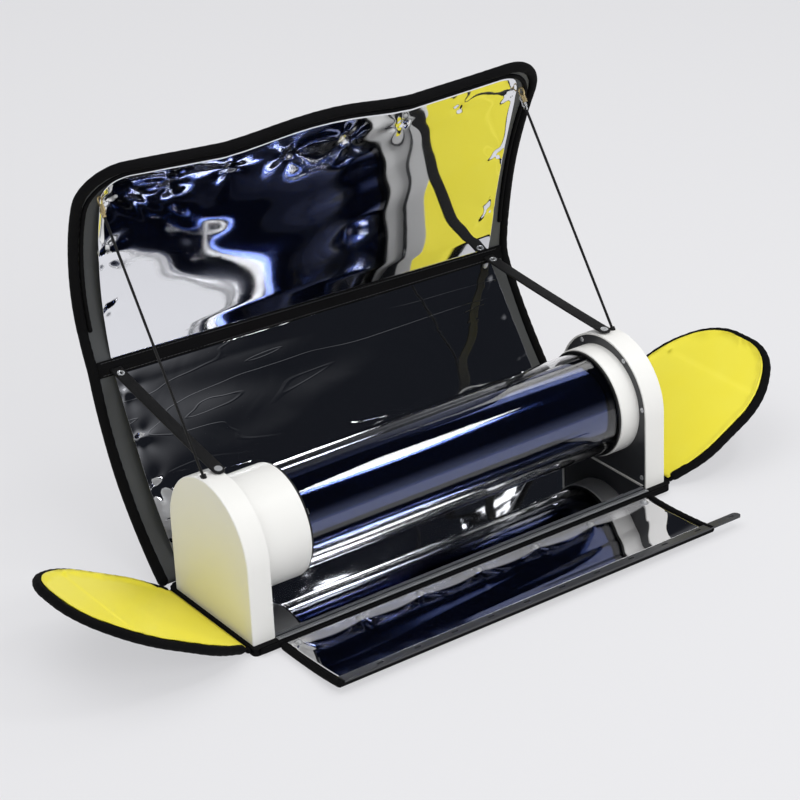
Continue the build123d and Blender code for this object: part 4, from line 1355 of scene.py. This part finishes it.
@dataclass
class FrontFlap:
    """The mirrored flap in front: padded cloth, film held by rivets, rolled ends."""

    hinge: Pair = (-0.0902, 0.0056)
    ends: Pair = (-0.2645, 0.2579)
    reach: float = 0.118
    tip_rise: float = 0.005
    bow: float = 0.0024
    thickness: float = 0.0036
    film: float = 0.0008
    film_border: float = 0.006
    bar: float = 0.013
    rivets: int = 7
    rivet_r: float = 0.0044
    rivet_inset: float = 0.013
    edge_r: float = 0.0042
    piping_r: float = 0.0036
    dimple: float = 0.0045
    scallop: Pair = (0.0011, 0.0115)  # how high and how wide the film swells between two rivets

    def section(self, x: float) -> Bow:
        """The flap's arc, the same at every x."""
        return Bow((self.hinge[0] - self.reach, self.hinge[1] + self.tip_rise), self.hinge, self.bow)

    def rivet_places(self) -> Points:
        """Where the rivets sit along X."""
        margin = 2 * self.rivet_r + self.film_border
        return np.linspace(self.ends[0] + margin, self.ends[1] - margin, self.rivets)

    def cloth(self) -> None:
        """Black padded cloth."""
        xs = np.linspace(*self.ends, 80)
        shares = np.tile(np.linspace(0, 1 - 0.0037 / self.reach, 24), (len(xs), 1))
        front, runs = surface(self.section, xs, shares, self.thickness / 2)
        back, _ = surface(self.section, xs, shares, -self.thickness / 2)
        piece = paint(slab("front_flap_cloth", front, back, laid(xs, runs)), BLACK_WEAVE, BLACK_WEAVE)
        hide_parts("front_panel")
        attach(piece, "front_flap")

    def mirror(self) -> None:
        """Mirror film that lifts in soft folds between its rivets."""
        xs = np.linspace(self.ends[0] + self.film_border, self.ends[1] - self.film_border, 240)
        first, last = (self.bar + 0.001) / self.reach, 1 - (self.piping_r + 0.001) / self.reach
        shares = np.tile(np.linspace(first, last, 60), (len(xs), 1))
        _, runs = surface(self.section, xs, shares, 0.0)
        places = self.rivet_places()
        length = self.section(0.0).length
        line = length - self.rivet_inset
        soft = Ripples(0.0007, 0.04, 0.16, 23, lean=4, spread=12).at(np.tile(xs[:, None], (1, 60)), runs)
        lift = np.maximum(soft + self.creases(xs, runs, places, line), 0.0)
        for x in places:
            far = np.hypot(xs[:, None] - x, runs - line)
            lift *= 1 - np.exp(-((far / self.dimple) ** 2))
        lift *= np.minimum(1, (runs - runs[:, :1]) / 0.012)
        lift *= np.minimum(1, (runs[:, -1:] - runs) / 0.004)
        base = self.thickness / 2 + 0.0002
        front, _ = surface(self.section, xs, shares, base + self.film + lift)
        back, _ = surface(self.section, xs, shares, base + lift)
        piece = paint(slab("front_flap_film", front, back, laid(xs, runs)), FLAP_FILM, FLAP_FILM)
        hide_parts("front_mirror")
        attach(piece, "front_flap")

    def creases(self, xs: Points, runs: Points, places: Points, line: float) -> Points:
        """Short sharp folds that the rivets pull in the film, and its swelling between them.

        Args:
            xs: the columns' places.
            runs: length along the arc of each point.
            places: the rivets' places along X.
            line: the rivets' length along the arc.

        Returns:
            Height of the folds.
        """
        pick = np.random.default_rng(5)
        pitch = places[1] - places[0]
        near = np.exp(-(((runs - line - 0.001) / self.scallop[1]) ** 2))
        total = self.scallop[0] * np.sin(pi * (xs - places[0]) / pitch)[:, None] ** 2 * near
        for x in places:
            for turn in np.linspace(0, 2 * pi, 7)[:-1] + pick.uniform(-0.4, 0.4, 6):
                dx, dv = xs[:, None] - x, runs - line
                ahead = dx * cos(turn) + dv * sin(turn)
                aside = -dx * sin(turn) + dv * cos(turn)
                reach = pick.uniform(0.009, 0.022)
                fold = np.exp(-((aside / 0.0022) ** 2)) * np.exp(-(((ahead - 0.008) / reach) ** 2))
                total += pick.uniform(0.0004, 0.0011) * fold * (ahead > 0)
        return total

    def studs(self) -> None:
        """Domed rivets with a flange and a drawn-in rim."""
        profile = [(0.0, -0.0004), (0.0050, -0.0004), (0.0050, 0.0003), (0.0040, 0.0005), (0.0037, 0.0014)]
        profile += [(0.0028, 0.0022), (0.0015, 0.0026), (0.0, 0.0027)]
        pattern = lathe("stud_pattern", profile, 24)
        bow = self.section(0.0)
        flat, way = bow.at(1 - self.rivet_inset / bow.length, self.thickness / 2 + self.film + 0.0004)
        xs = self.rivet_places()
        places = np.array([(x, *flat) for x in xs])
        facing, running = each((0.0, *way), xs), each((1.0, 0.0, 0.0), xs)
        piece = Repeat("Studs", ZINC).on("front_flap_studs", pattern, places, facing, running)
        discard(pattern)
        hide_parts("front_rivets")
        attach(piece, "front_flap")

    def edges(self) -> None:
        """Rolled ends of the flap."""
        for x, word in zip(self.ends, ("left", "right")):
            flat, _ = self.section(x).at(np.linspace(0.03, 0.93, 30), 0.0008)
            path = np.column_stack([np.full(30, x), flat])
            piece = roll(f"front_flap_{word}_roll", path, self.edge_r * 0.98, Puckers(0.05))
            paint(piece, BINDING_WEAVE)
            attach(piece, "front_flap")
            if word == "left":
                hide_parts("front_binding")

    def build(self) -> None:
        """Builds the flap."""
        self.cloth()
        self.mirror()
        self.studs()
        self.edges()


@dataclass
class EndFlap:
    """An arched flap at one end: padded cloth with a yellow lining, rolled edge."""

    side: Side
    hinge_x: float = 0.2992
    hinge_z: float = 0.0056
    tilt: float = 28.0
    half: float = 0.096
    neck: float = 0.080
    length: float = 0.216
    thickness: float = 0.004
    lining: float = 0.001
    edge_r: float = 0.0055
    rows: int = 46
    columns: int = 45
    steps: int = 22  # of the cloth simulation
    most_off: float = 0.0035  # how far the simulation may move a point

    def place(self, across: Points, along: Points, lift: Points | float) -> Points:
        """Points of the flap in space, as it lies open.

        Args:
            across: places across the flap.
            along: places along it.
            lift: height over its middle.

        Returns:
            The points.
        """
        a, s = radians(self.tilt), self.side.value
        up = np.array((-s * sin(a), 0.0, cos(a)))
        out = np.array((s * cos(a), 0.0, sin(a)))
        side_way = np.array((0.0, -s, 0.0))
        origin = np.array((s * self.hinge_x, 0.0, self.hinge_z))
        across, along, lift = np.broadcast_arrays(across, along, lift)
        return origin + across[..., None] * side_way + along[..., None] * out + lift[..., None] * up

    def outline(self, inset: float, start: float) -> Points:
        """The arched edge as (across, along).

        Args:
            inset: how far it is drawn in.
            start: how far from the hinge it starts.

        Returns:
            Points along it.
        """
        half, neck, tip = self.half - inset, self.neck - inset, self.length - inset
        edge = [(neck, start), (half, tip * 0.25), (half, tip * 0.7), (half / 2, tip)]
        return rounded(edge + [(-x, y) for x, y in reversed(edge)])

    def grid(self, inset: float, start: float) -> tuple[Points, Points]:
        """Rows by columns of (across, along) inside the edge.

        Args:
            inset: how far the edge is drawn in.
            start: how far from the hinge it starts.

        Returns:
            The places across and the places along.
        """
        edge = self.outline(inset, start)
        right = edge[: len(edge) // 2 + 1]
        right = right[right[:, 0] > 0]
        turn = np.linspace(0, pi / 2, 14)
        tip, bend = right[:, 1].max(), 0.06
        straight = np.linspace(start, tip - bend, self.rows - len(turn))
        along = np.concatenate([straight, tip - bend + bend * np.sin(turn)])
        widths = np.interp(along, right[:, 1], right[:, 0])
        shares = np.linspace(-1, 1, self.columns)
        across = widths[:, None] * shares[None, :]
        return across, np.tile(along[:, None], (1, self.columns))

    def settle(self, across: Points, along: Points) -> Points:
        """Lets a slack lining settle by cloth simulation, sewn down all round its edge.

        Args:
            across: grid of places across the flap.
            along: grid of places along the flap.

        Returns:
            How far each point stands off the padding.
        """
        rows, columns = across.shape
        points = self.place(across, along, 0.0)
        number = np.arange(rows * columns).reshape(rows, columns)
        seed = np.random.default_rng(31 + self.side.value).normal(0, 0.0002, rows * columns)
        up = self.place(0.0, 0.0, 1.0) - self.place(0.0, 0.0, 0.0)
        start = points.reshape(-1, 3) + np.outer(seed, up)
        cloth = mesh_object("lining_being_sewn", start, quads_of(number))
        sewn = cloth.vertex_groups.new(name="sewn")
        edge = set(number[0]) | set(number[-1]) | set(number[:, 0]) | set(number[:, -1])
        sewn.add([int(i) for i in edge], 1.0, "REPLACE")
        modifier = cloth.modifiers.new("Cloth", "CLOTH")
        settings = modifier.settings
        settings.quality = 6
        settings.mass = 0.12
        settings.tension_stiffness = settings.compression_stiffness = 18
        settings.bending_stiffness = 0.25
        settings.vertex_group_mass = "sewn"
        settings.shrink_min = -0.025
        settings.effector_weights.gravity = 0.15
        scene = bpy.context.scene
        modifier.point_cache.frame_start, modifier.point_cache.frame_end = 1, self.steps
        for step in range(1, self.steps + 1):
            scene.frame_set(step)
        graph = bpy.context.evaluated_depsgraph_get()
        settled = cloth.evaluated_get(graph).to_mesh()
        after = np.array([v.co for v in settled.vertices])
        scene.frame_set(1)
        bpy.data.objects.remove(cloth, do_unlink=True)
        off = ((after - points.reshape(-1, 3)) @ up).reshape(rows, columns)
        return np.clip(off, -self.most_off, self.most_off)

    def build(self) -> None:
        """Builds padding, lining and edge."""
        word = self.side.word
        across, along = self.grid(0.0, 0.0037)
        middle = 1 - (across / (abs(across).max(axis=1, keepdims=True) + 1e-9)) ** 4
        crown = middle * np.sin(pi * np.clip(along / self.length, 0, 1)) ** 0.5
        front = self.place(across, along, self.thickness / 2)
        back = self.place(across, along, -self.thickness / 2 - 0.003 * crown)
        uv = np.stack([across, along], -1)
        pad = paint(slab(f"{word}_flap_cloth", front, back, uv), BLACK_WEAVE, BLACK_WEAVE)
        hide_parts(f"{word}_panel")
        across, along = self.grid(0.0025, 0.0045)
        off = self.settle(across, along)
        off = (off - min(0.0, float(off.min()))) * np.clip((along - 0.0045) / 0.04, 0, 1)
        lift = self.thickness / 2 + 0.0005 + off
        front = self.place(across, along, lift + self.lining)
        back = self.place(across, along, lift)
        uv = np.stack([across, along], -1)
        sheet = paint(slab(f"{word}_flap_lining", front, back, uv), YELLOW_NYLON, YELLOW_NYLON)
        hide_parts(f"{word}_lining")
        edge = self.outline(0.0, 0.012)
        path = self.place(edge[:, 0], edge[:, 1], 0.0005)
        rim_roll = paint(roll(f"{word}_flap_roll", path, self.edge_r, Puckers(0.04, 0.012)), BINDING_WEAVE)
        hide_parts(f"{word}_binding")
        for piece, slot in ((pad, "black_fabric"), (sheet, "yellow_fabric"), (rim_roll, "black_fabric")):
            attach(piece, f"{word}_flap")


@dataclass
class Pipings:
    """The rolled edges of the base, which the flaps and the lid turn on."""

    radius: float = 0.0036
    height: float = 0.0056

    def build(self) -> None:
        """Builds the four rolls in the place of their plain solids."""
        for node, body in (
            ("back_piping", "lid_lower"),
            ("front_piping", "front_flap"),
            ("left_piping", "left_flap"),
            ("right_piping", "right_flap"),
        ):
            low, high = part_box(node)
            middle = (low + high) / 2
            ends = [Vector(middle), Vector(middle)]
            axis = 0 if high.x - low.x > high.y - low.y else 1
            ends[0][axis], ends[1][axis] = low[axis] + self.radius, high[axis] - self.radius
            path = np.array([tuple(e) for e in ends])
            piece = roll(f"{node}_roll", path, self.radius * 0.95, Puckers(0.02, 0.012), 14)
            paint(piece, BINDING_WEAVE)
            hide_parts(node)
            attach(piece, body)


@dataclass
class Stays:
    """The straps and cords that hold the open lid."""

    shape: LidShape = LID
    housing_out: float = 0.2937
    arch_r: float = 0.080
    axis_z: float = 0.101
    setback: Pair = (0.0252, 0.0187)
    foot_y: float = 0.008
    lid_inset: float = 0.027
    lift: float = 0.0034
    width: float = 0.015
    thickness: float = 0.0014
    cord_r: float = 0.0016
    cord_setback: float = 0.006
    cord_top: Pair = (0.022, 0.034)
    cord_meet: float = 0.2  # share of the cord's length where its two parts meet

    def strap(self, side: Side) -> None:
        """Flat webbing with one rounded end, from the housing to the fold, and a rivet near the fold.

        Args:
            side: which side.
        """
        s = side.value
        x = s * (self.housing_out - self.setback[0 if s < 0 else 1])
        foot = Vector((x, self.foot_y, self.axis_z + sqrt(self.arch_r**2 - self.foot_y**2) + self.lift))
        lid_x = s * (self.shape.length / 2 - self.lid_inset)
        head = Vector((lid_x, *self.shape.fold(lid_x)))
        run = (head - foot).normalized()
        across = Vector((1, 0, 0)) - run * run.x
        across.normalize()
        up = across.cross(run)
        length = (head - foot).length - 0.0046
        rounding = -self.width / 2 * np.cos(np.linspace(0, pi / 2, 9))
        along = np.concatenate([rounding, np.linspace(0.004, length, 70)])
        half = self.width / 2 * np.sqrt(np.clip(1 - (np.minimum(along, 0) / (self.width / 2)) ** 2, 0.02, 1))
        shares = np.linspace(-1, 1, 9)
        bend = 0.0012 * np.sin(pi * np.clip(along / length, 0, 1))

        def face(rise: float) -> Points:
            """One face of the webbing, a little crowned across it and hollow along it."""
            rows = []
            for a, w, b in zip(along, half, bend):
                lifts = rise - b + 0.0004 * (1 - shares * shares)
                rows.append([foot + run * a + across * (w * k) + up * lift for k, lift in zip(shares, lifts)])
            return np.array([[tuple(point) for point in row] for row in rows])

        uv = np.array([[(a, w * k) for k in shares] for a, w in zip(along, half)])
        piece = slab(f"{side.word}_strap", face(self.thickness / 2), face(-self.thickness / 2), uv)
        paint(piece, WEBBING, WEBBING)
        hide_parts(f"{side.word}_stay_strap")
        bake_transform(piece)
        profile = [(0.0, -0.0018), (0.0030, -0.0018), (0.0046, -0.0016), (0.0046, 0.0016), (0.0036, 0.0021)]
        profile += [(0.0028, 0.0017), (0.0020, 0.0008), (0.0, 0.0006)]
        pattern = lathe("strap_eyelet_pattern", profile, 22)
        place = np.array([tuple(foot + run * (length - 0.0114))])
        turned = Repeat("Strap rivets", ZINC).on(
            f"{side.word}_strap_rivet", pattern, place, np.array([tuple(up)]), np.array([tuple(run)])
        )
        discard(pattern)
        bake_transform(turned)
        if side is Side.LEFT:
            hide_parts("fold_rivets")

    def cord(self, side: Side) -> None:
        """Tight braided cord in two lengths, which meet where it follows the lower segment.

        Args:
            side: which side.
        """
        s = side.value
        foot = Vector((s * (self.housing_out - self.cord_setback), self.foot_y, self.axis_z + self.arch_r))
        x = s * (self.shape.length / 2 - self.cord_top[0])
        z = self.shape.top - self.cord_top[1]
        bow = self.shape.upper(x)
        flat, _ = bow.at(bow.share_at(z), self.shape.thickness / 2 + 0.0008 + 0.006)
        top = Vector((x, *flat))
        run = (top - foot).normalized()
        start, end = foot + run * 0.003, top - run * 0.013
        middle = start.lerp(end, self.cord_meet)
        parts = (
            ("lower", start, middle, "base", "lid_lower"),
            ("upper", middle, end, "lid_lower", "lid_upper"),
        )
        for word, a, b, first, second in parts:
            path = np.array([tuple(a), tuple(b)])
            piece = roll(f"{side.word}_cord_{word}", path, self.cord_r, Puckers(0.05, 0.004), 10, 0.002)
            paint(piece, BRAID)
            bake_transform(piece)
            if word == "lower":
                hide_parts(f"{side.word}_stay_cord")
        self.snap(side, np.array(end), np.array(run))

    def snap(self, side: Side, end: Points, run: Points) -> None:
        """The fitting between a cord's top and its clasp: a barrel on the left, chain links on the right.

        Args:
            side: which side.
            end: the cord's top.
            run: the cord's direction.
        """
        across = np.cross(run, (0.0, 1.0, 0.0))
        across /= np.linalg.norm(across)
        if side is Side.LEFT:
            profile = [(0.0, -0.0065), (0.0024, -0.0065), (0.0024, -0.0045), (0.0017, -0.0040)]
            profile += [(0.0030, -0.0025), (0.0030, 0.0020), (0.0018, 0.0030), (0.0022, 0.0045)]
            profile += [(0.0, 0.0055)]
            pattern, finish = lathe("snap_pattern", profile, 20), BRASS
            places, running = np.array([end + run * 0.003]), np.array([across])
        else:
            turn = np.linspace(0, 2 * pi, 25)
            ring = np.stack([0.0026 * np.cos(turn), 0 * turn, 0.0036 * np.sin(turn)], -1)[:-1]
            pattern, finish = roll("link_pattern", ring, 0.0009, Puckers(0.0), 8, 0.001), ZINC
            places = np.array([end + run * (0.0035 * k - 0.003) for k in range(4)])
            other = np.cross(run, across)
            running = np.array([across if k % 2 else other for k in range(4)])
        fittings = Repeat("Cord fittings", finish)
        piece = fittings.on(f"{side.word}_cord_snap", pattern, places, each(run, places), running)
        discard(pattern)
        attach(piece, "lid_upper")

    def build(self) -> None:
        """Builds both sides."""
        for side in Side:
            self.strap(side)
            self.cord(side)


@dataclass
class Hardware:
    """Small metal: the side plates' screws and the zip's coil."""

    plate_out: float = 0.2661
    axis_z: float = 0.101
    collar_r: float = 0.0668
    arch_r: float = 0.080
    base_top: float = 0.009
    wall: float = 0.002
    head_r: float = 0.0031
    head_height: float = 0.0016
    zip_pitch: float = 0.0030

    def screw_pattern(self) -> Piece:
        """Pan head with a cross recess."""
        r, h = self.head_r, self.head_height
        profile = [(0.0, -0.003), (0.0014, -0.003), (0.0014, 0.0), (r, 0.0), (r, h * 0.45)]
        profile += [(r * 0.86, h * 0.8), (r * 0.55, h), (0.0, h)]
        head = lathe("screw_pattern", profile, 28)
        for turn in (0.0, pi / 2):
            bpy.ops.mesh.primitive_cube_add(size=1)
            cutter = bpy.context.object
            slot = Matrix.Translation((0, 0, h)) @ Matrix.Diagonal((r * 1.2, r * 0.24, h, 1))
            cutter.data.transform(Matrix.Rotation(turn, 4, "Z") @ slot)
            cut = head.modifiers.new("Recess", "BOOLEAN")
            cut.operation, cut.object = "DIFFERENCE", cutter
            head = plain(head)
            discard(cutter)
        return head

    def screws(self) -> None:
        """Screws of both side plates, each turned a little differently."""
        r = (self.collar_r + self.arch_r) / 2
        spots = [(r * cos(radians(a)), r * sin(radians(a))) for a in (8, 58, 122, 172)]
        low = self.base_top - self.axis_z + self.wall + 3 * self.head_r
        spots += [(-r + 0.002, low), (r - 0.002, low)]
        places, facing, running = [], [], []
        for side in Side:
            for k, (y, h) in enumerate(spots):
                places.append((side.value * self.plate_out, y, self.axis_z + h))
                facing.append((-side.value, 0.0, 0.0))
                turn = 0.7 * k + 0.3 * side.value
                running.append((0.0, cos(turn), sin(turn)))
        pattern = self.screw_pattern()
        piece = Repeat("Screws", ZINC).on(
            "plate_screw_heads", pattern, np.array(places), np.array(facing), np.array(running)
        )
        discard(pattern)
        piece.data.polygons.foreach_set("use_smooth", [False] * len(piece.data.polygons))
        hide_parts("plate_screws")
        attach(piece, "base")

    def zip(self) -> None:
        """The zip's tape, and its coil of teeth as Geometry Nodes copies in a row."""
        low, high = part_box("front_zip")
        y = (low.y + high.y) / 2
        xs = np.linspace(low.x, high.x, 60)
        rows = np.linspace(low.y, high.y, 6)
        lay = np.array([[(x, b, low.z + 0.0008) for b in rows] for x in xs])
        under = lay.copy()
        under[..., 2] = low.z + 0.0001
        uv = lay[..., :2]
        tape = paint(slab("zip_tape", lay, under, uv), ZIP_NYLON, ZIP_NYLON)
        teeth = np.arange(low.x + 0.002, high.x - 0.002, self.zip_pitch)
        loop = [(0, -0.0021, 0), (0.0004, -0.0008, 0.0008), (0.0009, 0.0008, 0.0008), (0.0013, 0.0021, 0)]
        pattern = roll("tooth_pattern", np.array(loop), 0.00055, Puckers(0.0), 6, 0.001)
        places = np.array([(x, y, low.z + 0.0009) for x in teeth])
        facing, running = each((0.0, 0.0, 1.0), places), each((1.0, 0.0, 0.0), places)
        coil = Repeat("Zip teeth", ZIP_TEETH).on("zip_teeth", pattern, places, facing, running)
        discard(pattern)
        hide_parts("front_zip")
        for piece in (tape, coil):
            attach(piece, "base")

    def build(self) -> None:
        """Builds screws and zip."""
        self.screws()
        self.zip()


CARRIED_OVER: dict[str, Finish] = {
    "base_board": BOARD_WEAVE,
    "base_bolts": ZINC,
    "trough_mirror": POLISHED_SHEET,
    "left_housing": WHITE_COAT,
    "right_housing": WHITE_COAT,
    "left_side_plate": DARK_PAINT,
    "right_side_plate": DARK_PAINT,
    "left_plate_seat": WHITE_COAT,
    "right_plate_seat": WHITE_COAT,
    "left_collar": WHITE_COAT,
    "right_collar": WHITE_COAT,
    "left_gasket": RUBBER,
    "right_gasket": RUBBER,
    "glass_outer": CLEAR_GLASS,
    "glass_inner": ABSORBER,
    "tube_end_clip": ZINC,
    "dome_cushion": RUBBER,
    "mouth_seat": RUBBER,
    "housing_rivets": ZINC,
    "cord_anchors": RUBBER,
    "food_tray": STAINLESS,
    "plug_core": FOAM,
    "tray_plug": WHITE_COAT,
    "plug_seal": RUBBER,
    "tray_handle": STAINLESS,
    "cord_clasps": BRASS,
    "front_bar": DARK_PAINT,
}


def dress_frame(nodes: dict[str, Piece]) -> None:
    """Gives every carried-over node of the frame its finish.

    Args:
        nodes: the frame's nodes by name.
    """
    for name, finish in CARRIED_OVER.items():
        paint(nodes[name], finish)
        log.info("dressed %s as %s", name, finish.name)


# Studio


@dataclass
class Softbox:
    """A rectangular studio lamp."""

    name: str
    place: Triple
    target: Triple
    size: Pair
    power: float
    mirrored: bool = True

    def build(self) -> None:
        """Hangs the lamp and turns it to its target."""
        lamp = bpy.data.lights.new(self.name, "AREA")
        lamp.shape, lamp.size, lamp.size_y, lamp.energy = "RECTANGLE", *self.size, self.power
        made = bpy.data.objects.new(self.name, lamp)
        made.location = self.place
        made.visible_glossy = made.visible_transmission = self.mirrored
        made.rotation_euler = (Vector(self.target) - Vector(self.place)).to_track_quat("-Z", "Y").to_euler()
        bpy.context.scene.collection.objects.link(made)


@dataclass
class Studio:
    """Plain pale floor, soft lamps, and a camera at the photograph's angle."""

    azimuth: float = -34.466
    elevation: float = 26.774
    roll: float = -2.646
    lens: float = 127.42
    eye: Triple = (-1.64714, -2.35692, 1.63599)
    floor_colour: str = "#DEDEE0"
    backdrop_colour: str = "#E6E6EA"
    room_colour: str = "#1A1C21"
    dusk_colour: str = "#9A9B9E"
    room_dusk: Pair = (0.0, 0.4)
    room_side: Pair = (-0.15, 0.25)
    room_top: Pair = (0.4, 0.14)
    ambient: float = 0.56
    lamps: tuple[Softbox, ...] = (
        Softbox("overhead", (-0.7, 0.5, 2.9), (0.0, 0.0, 0.0), (3.0, 2.6), 30.0, False),
        Softbox("fill", (0.2, -3.0, 2.0), (0.0, 0.0, 0.1), (2.2, 1.4), 50.0, False),
        Softbox("streak", (0.93, -0.56, 1.8), (0.0, 0.0, 0.15), (0.4, 0.32), 6.0),
        Softbox("edge", (1.6, 1.0, 1.9), (0.2, 0.0, 0.1), (1.0, 0.7), 4.5),
    )

    def camera(self) -> None:
        """Camera with the photograph's place, turn and lens."""
        az, el, turn = (radians(v) for v in (self.azimuth, self.elevation, self.roll))
        back = Vector((sin(az) * cos(el), -cos(az) * cos(el), sin(el)))
        right = Vector((cos(az), sin(az), 0.0))
        up = back.cross(right)
        x = right * cos(turn) + up * sin(turn)
        y = up * cos(turn) - right * sin(turn)
        data = bpy.data.cameras.new("Camera")
        data.lens, data.sensor_width = self.lens, 36.0
        data.clip_start, data.clip_end = 0.1, 100.0
        made = bpy.data.objects.new("Camera", data)
        turned = Matrix((x, y, back)).transposed().to_4x4()
        made.matrix_world = Matrix.Translation(self.eye) @ turned
        bpy.context.scene.collection.objects.link(made)
        bpy.context.scene.camera = made

    def floor(self) -> None:
        """Wide pale floor that keeps the object's shadow."""
        reach = 12.0
        corners = np.array([(-reach, -reach, 0), (reach, -reach, 0), (reach, reach, 0), (-reach, reach, 0)])
        made = mesh_object("floor", corners, [(0, 1, 2, 3)])
        paint(made, StudioPaper("studio_paper_pale", self.floor_colour, 0.9))
        made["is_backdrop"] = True

    def world(self) -> None:
        """Soft light from all round. The camera sees a pale backdrop. Metal and glass show it too, behind the
        grill, and above and in front of it the dark room of a photographer's studio."""
        world = bpy.data.worlds.new("Studio")
        world.use_nodes = True
        tree = world.node_tree
        tree.nodes.clear()
        pale, dark, dusk = (linear(c) for c in (self.backdrop_colour, self.room_colour, self.dusk_colour))
        ray = add(tree, "ShaderNodeTexCoord").outputs["Generated"]
        way = add(tree, "ShaderNodeSeparateXYZ", {0: ray}).outputs
        behind, low = ramp(tree, way["Y"], *self.room_side), ramp(tree, way["Z"], *self.room_top)
        front = blended(tree, ramp(tree, way["Z"], *self.room_dusk), dusk, dark)
        room = blended(tree, maths(tree, "MULTIPLY", behind, low), front, pale)
        path = add(tree, "ShaderNodeLightPath").outputs
        mirrored = maths(tree, "MAXIMUM", path["Is Glossy Ray"], path["Is Transmission Ray"])
        levels = ((linear("#FFFFFF"), self.ambient), (room, 1.0), (pale, 1.0))
        light, around, backdrop = (
            add(tree, "ShaderNodeBackground", {"Color": colour, "Strength": level}).outputs[0]
            for colour, level in levels
        )
        inner = add(tree, "ShaderNodeMixShader", {"Fac": mirrored, 1: light, 2: around}).outputs[0]
        outer = add(tree, "ShaderNodeMixShader", {"Fac": path["Is Camera Ray"], 1: inner, 2: backdrop})
        add(tree, "ShaderNodeOutputWorld", {"Surface": outer.outputs[0]})
        bpy.context.scene.world = world

    def build(self) -> None:
        """Sets up the studio."""
        self.camera()
        self.floor()
        self.world()
        for lamp in self.lamps:
            lamp.build()
        bpy.context.scene.view_settings.view_transform = "Standard"


def main() -> None:
    """Builds every sub-assembly and reports each piece."""
    logging.basicConfig(level=logging.INFO, format="%(name)s: %(message)s")
    dress_frame(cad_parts)
    Studio().build()
    Lid().build()
    FrontFlap().build()
    for side in Side:
        EndFlap(side).build()
    Pipings().build()
    Stays().build()
    Hardware().build()
    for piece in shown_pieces():
        log.info("piece %s: %d faces", piece.name, len(piece.data.polygons))


if __name__ == "__main__":
    main()
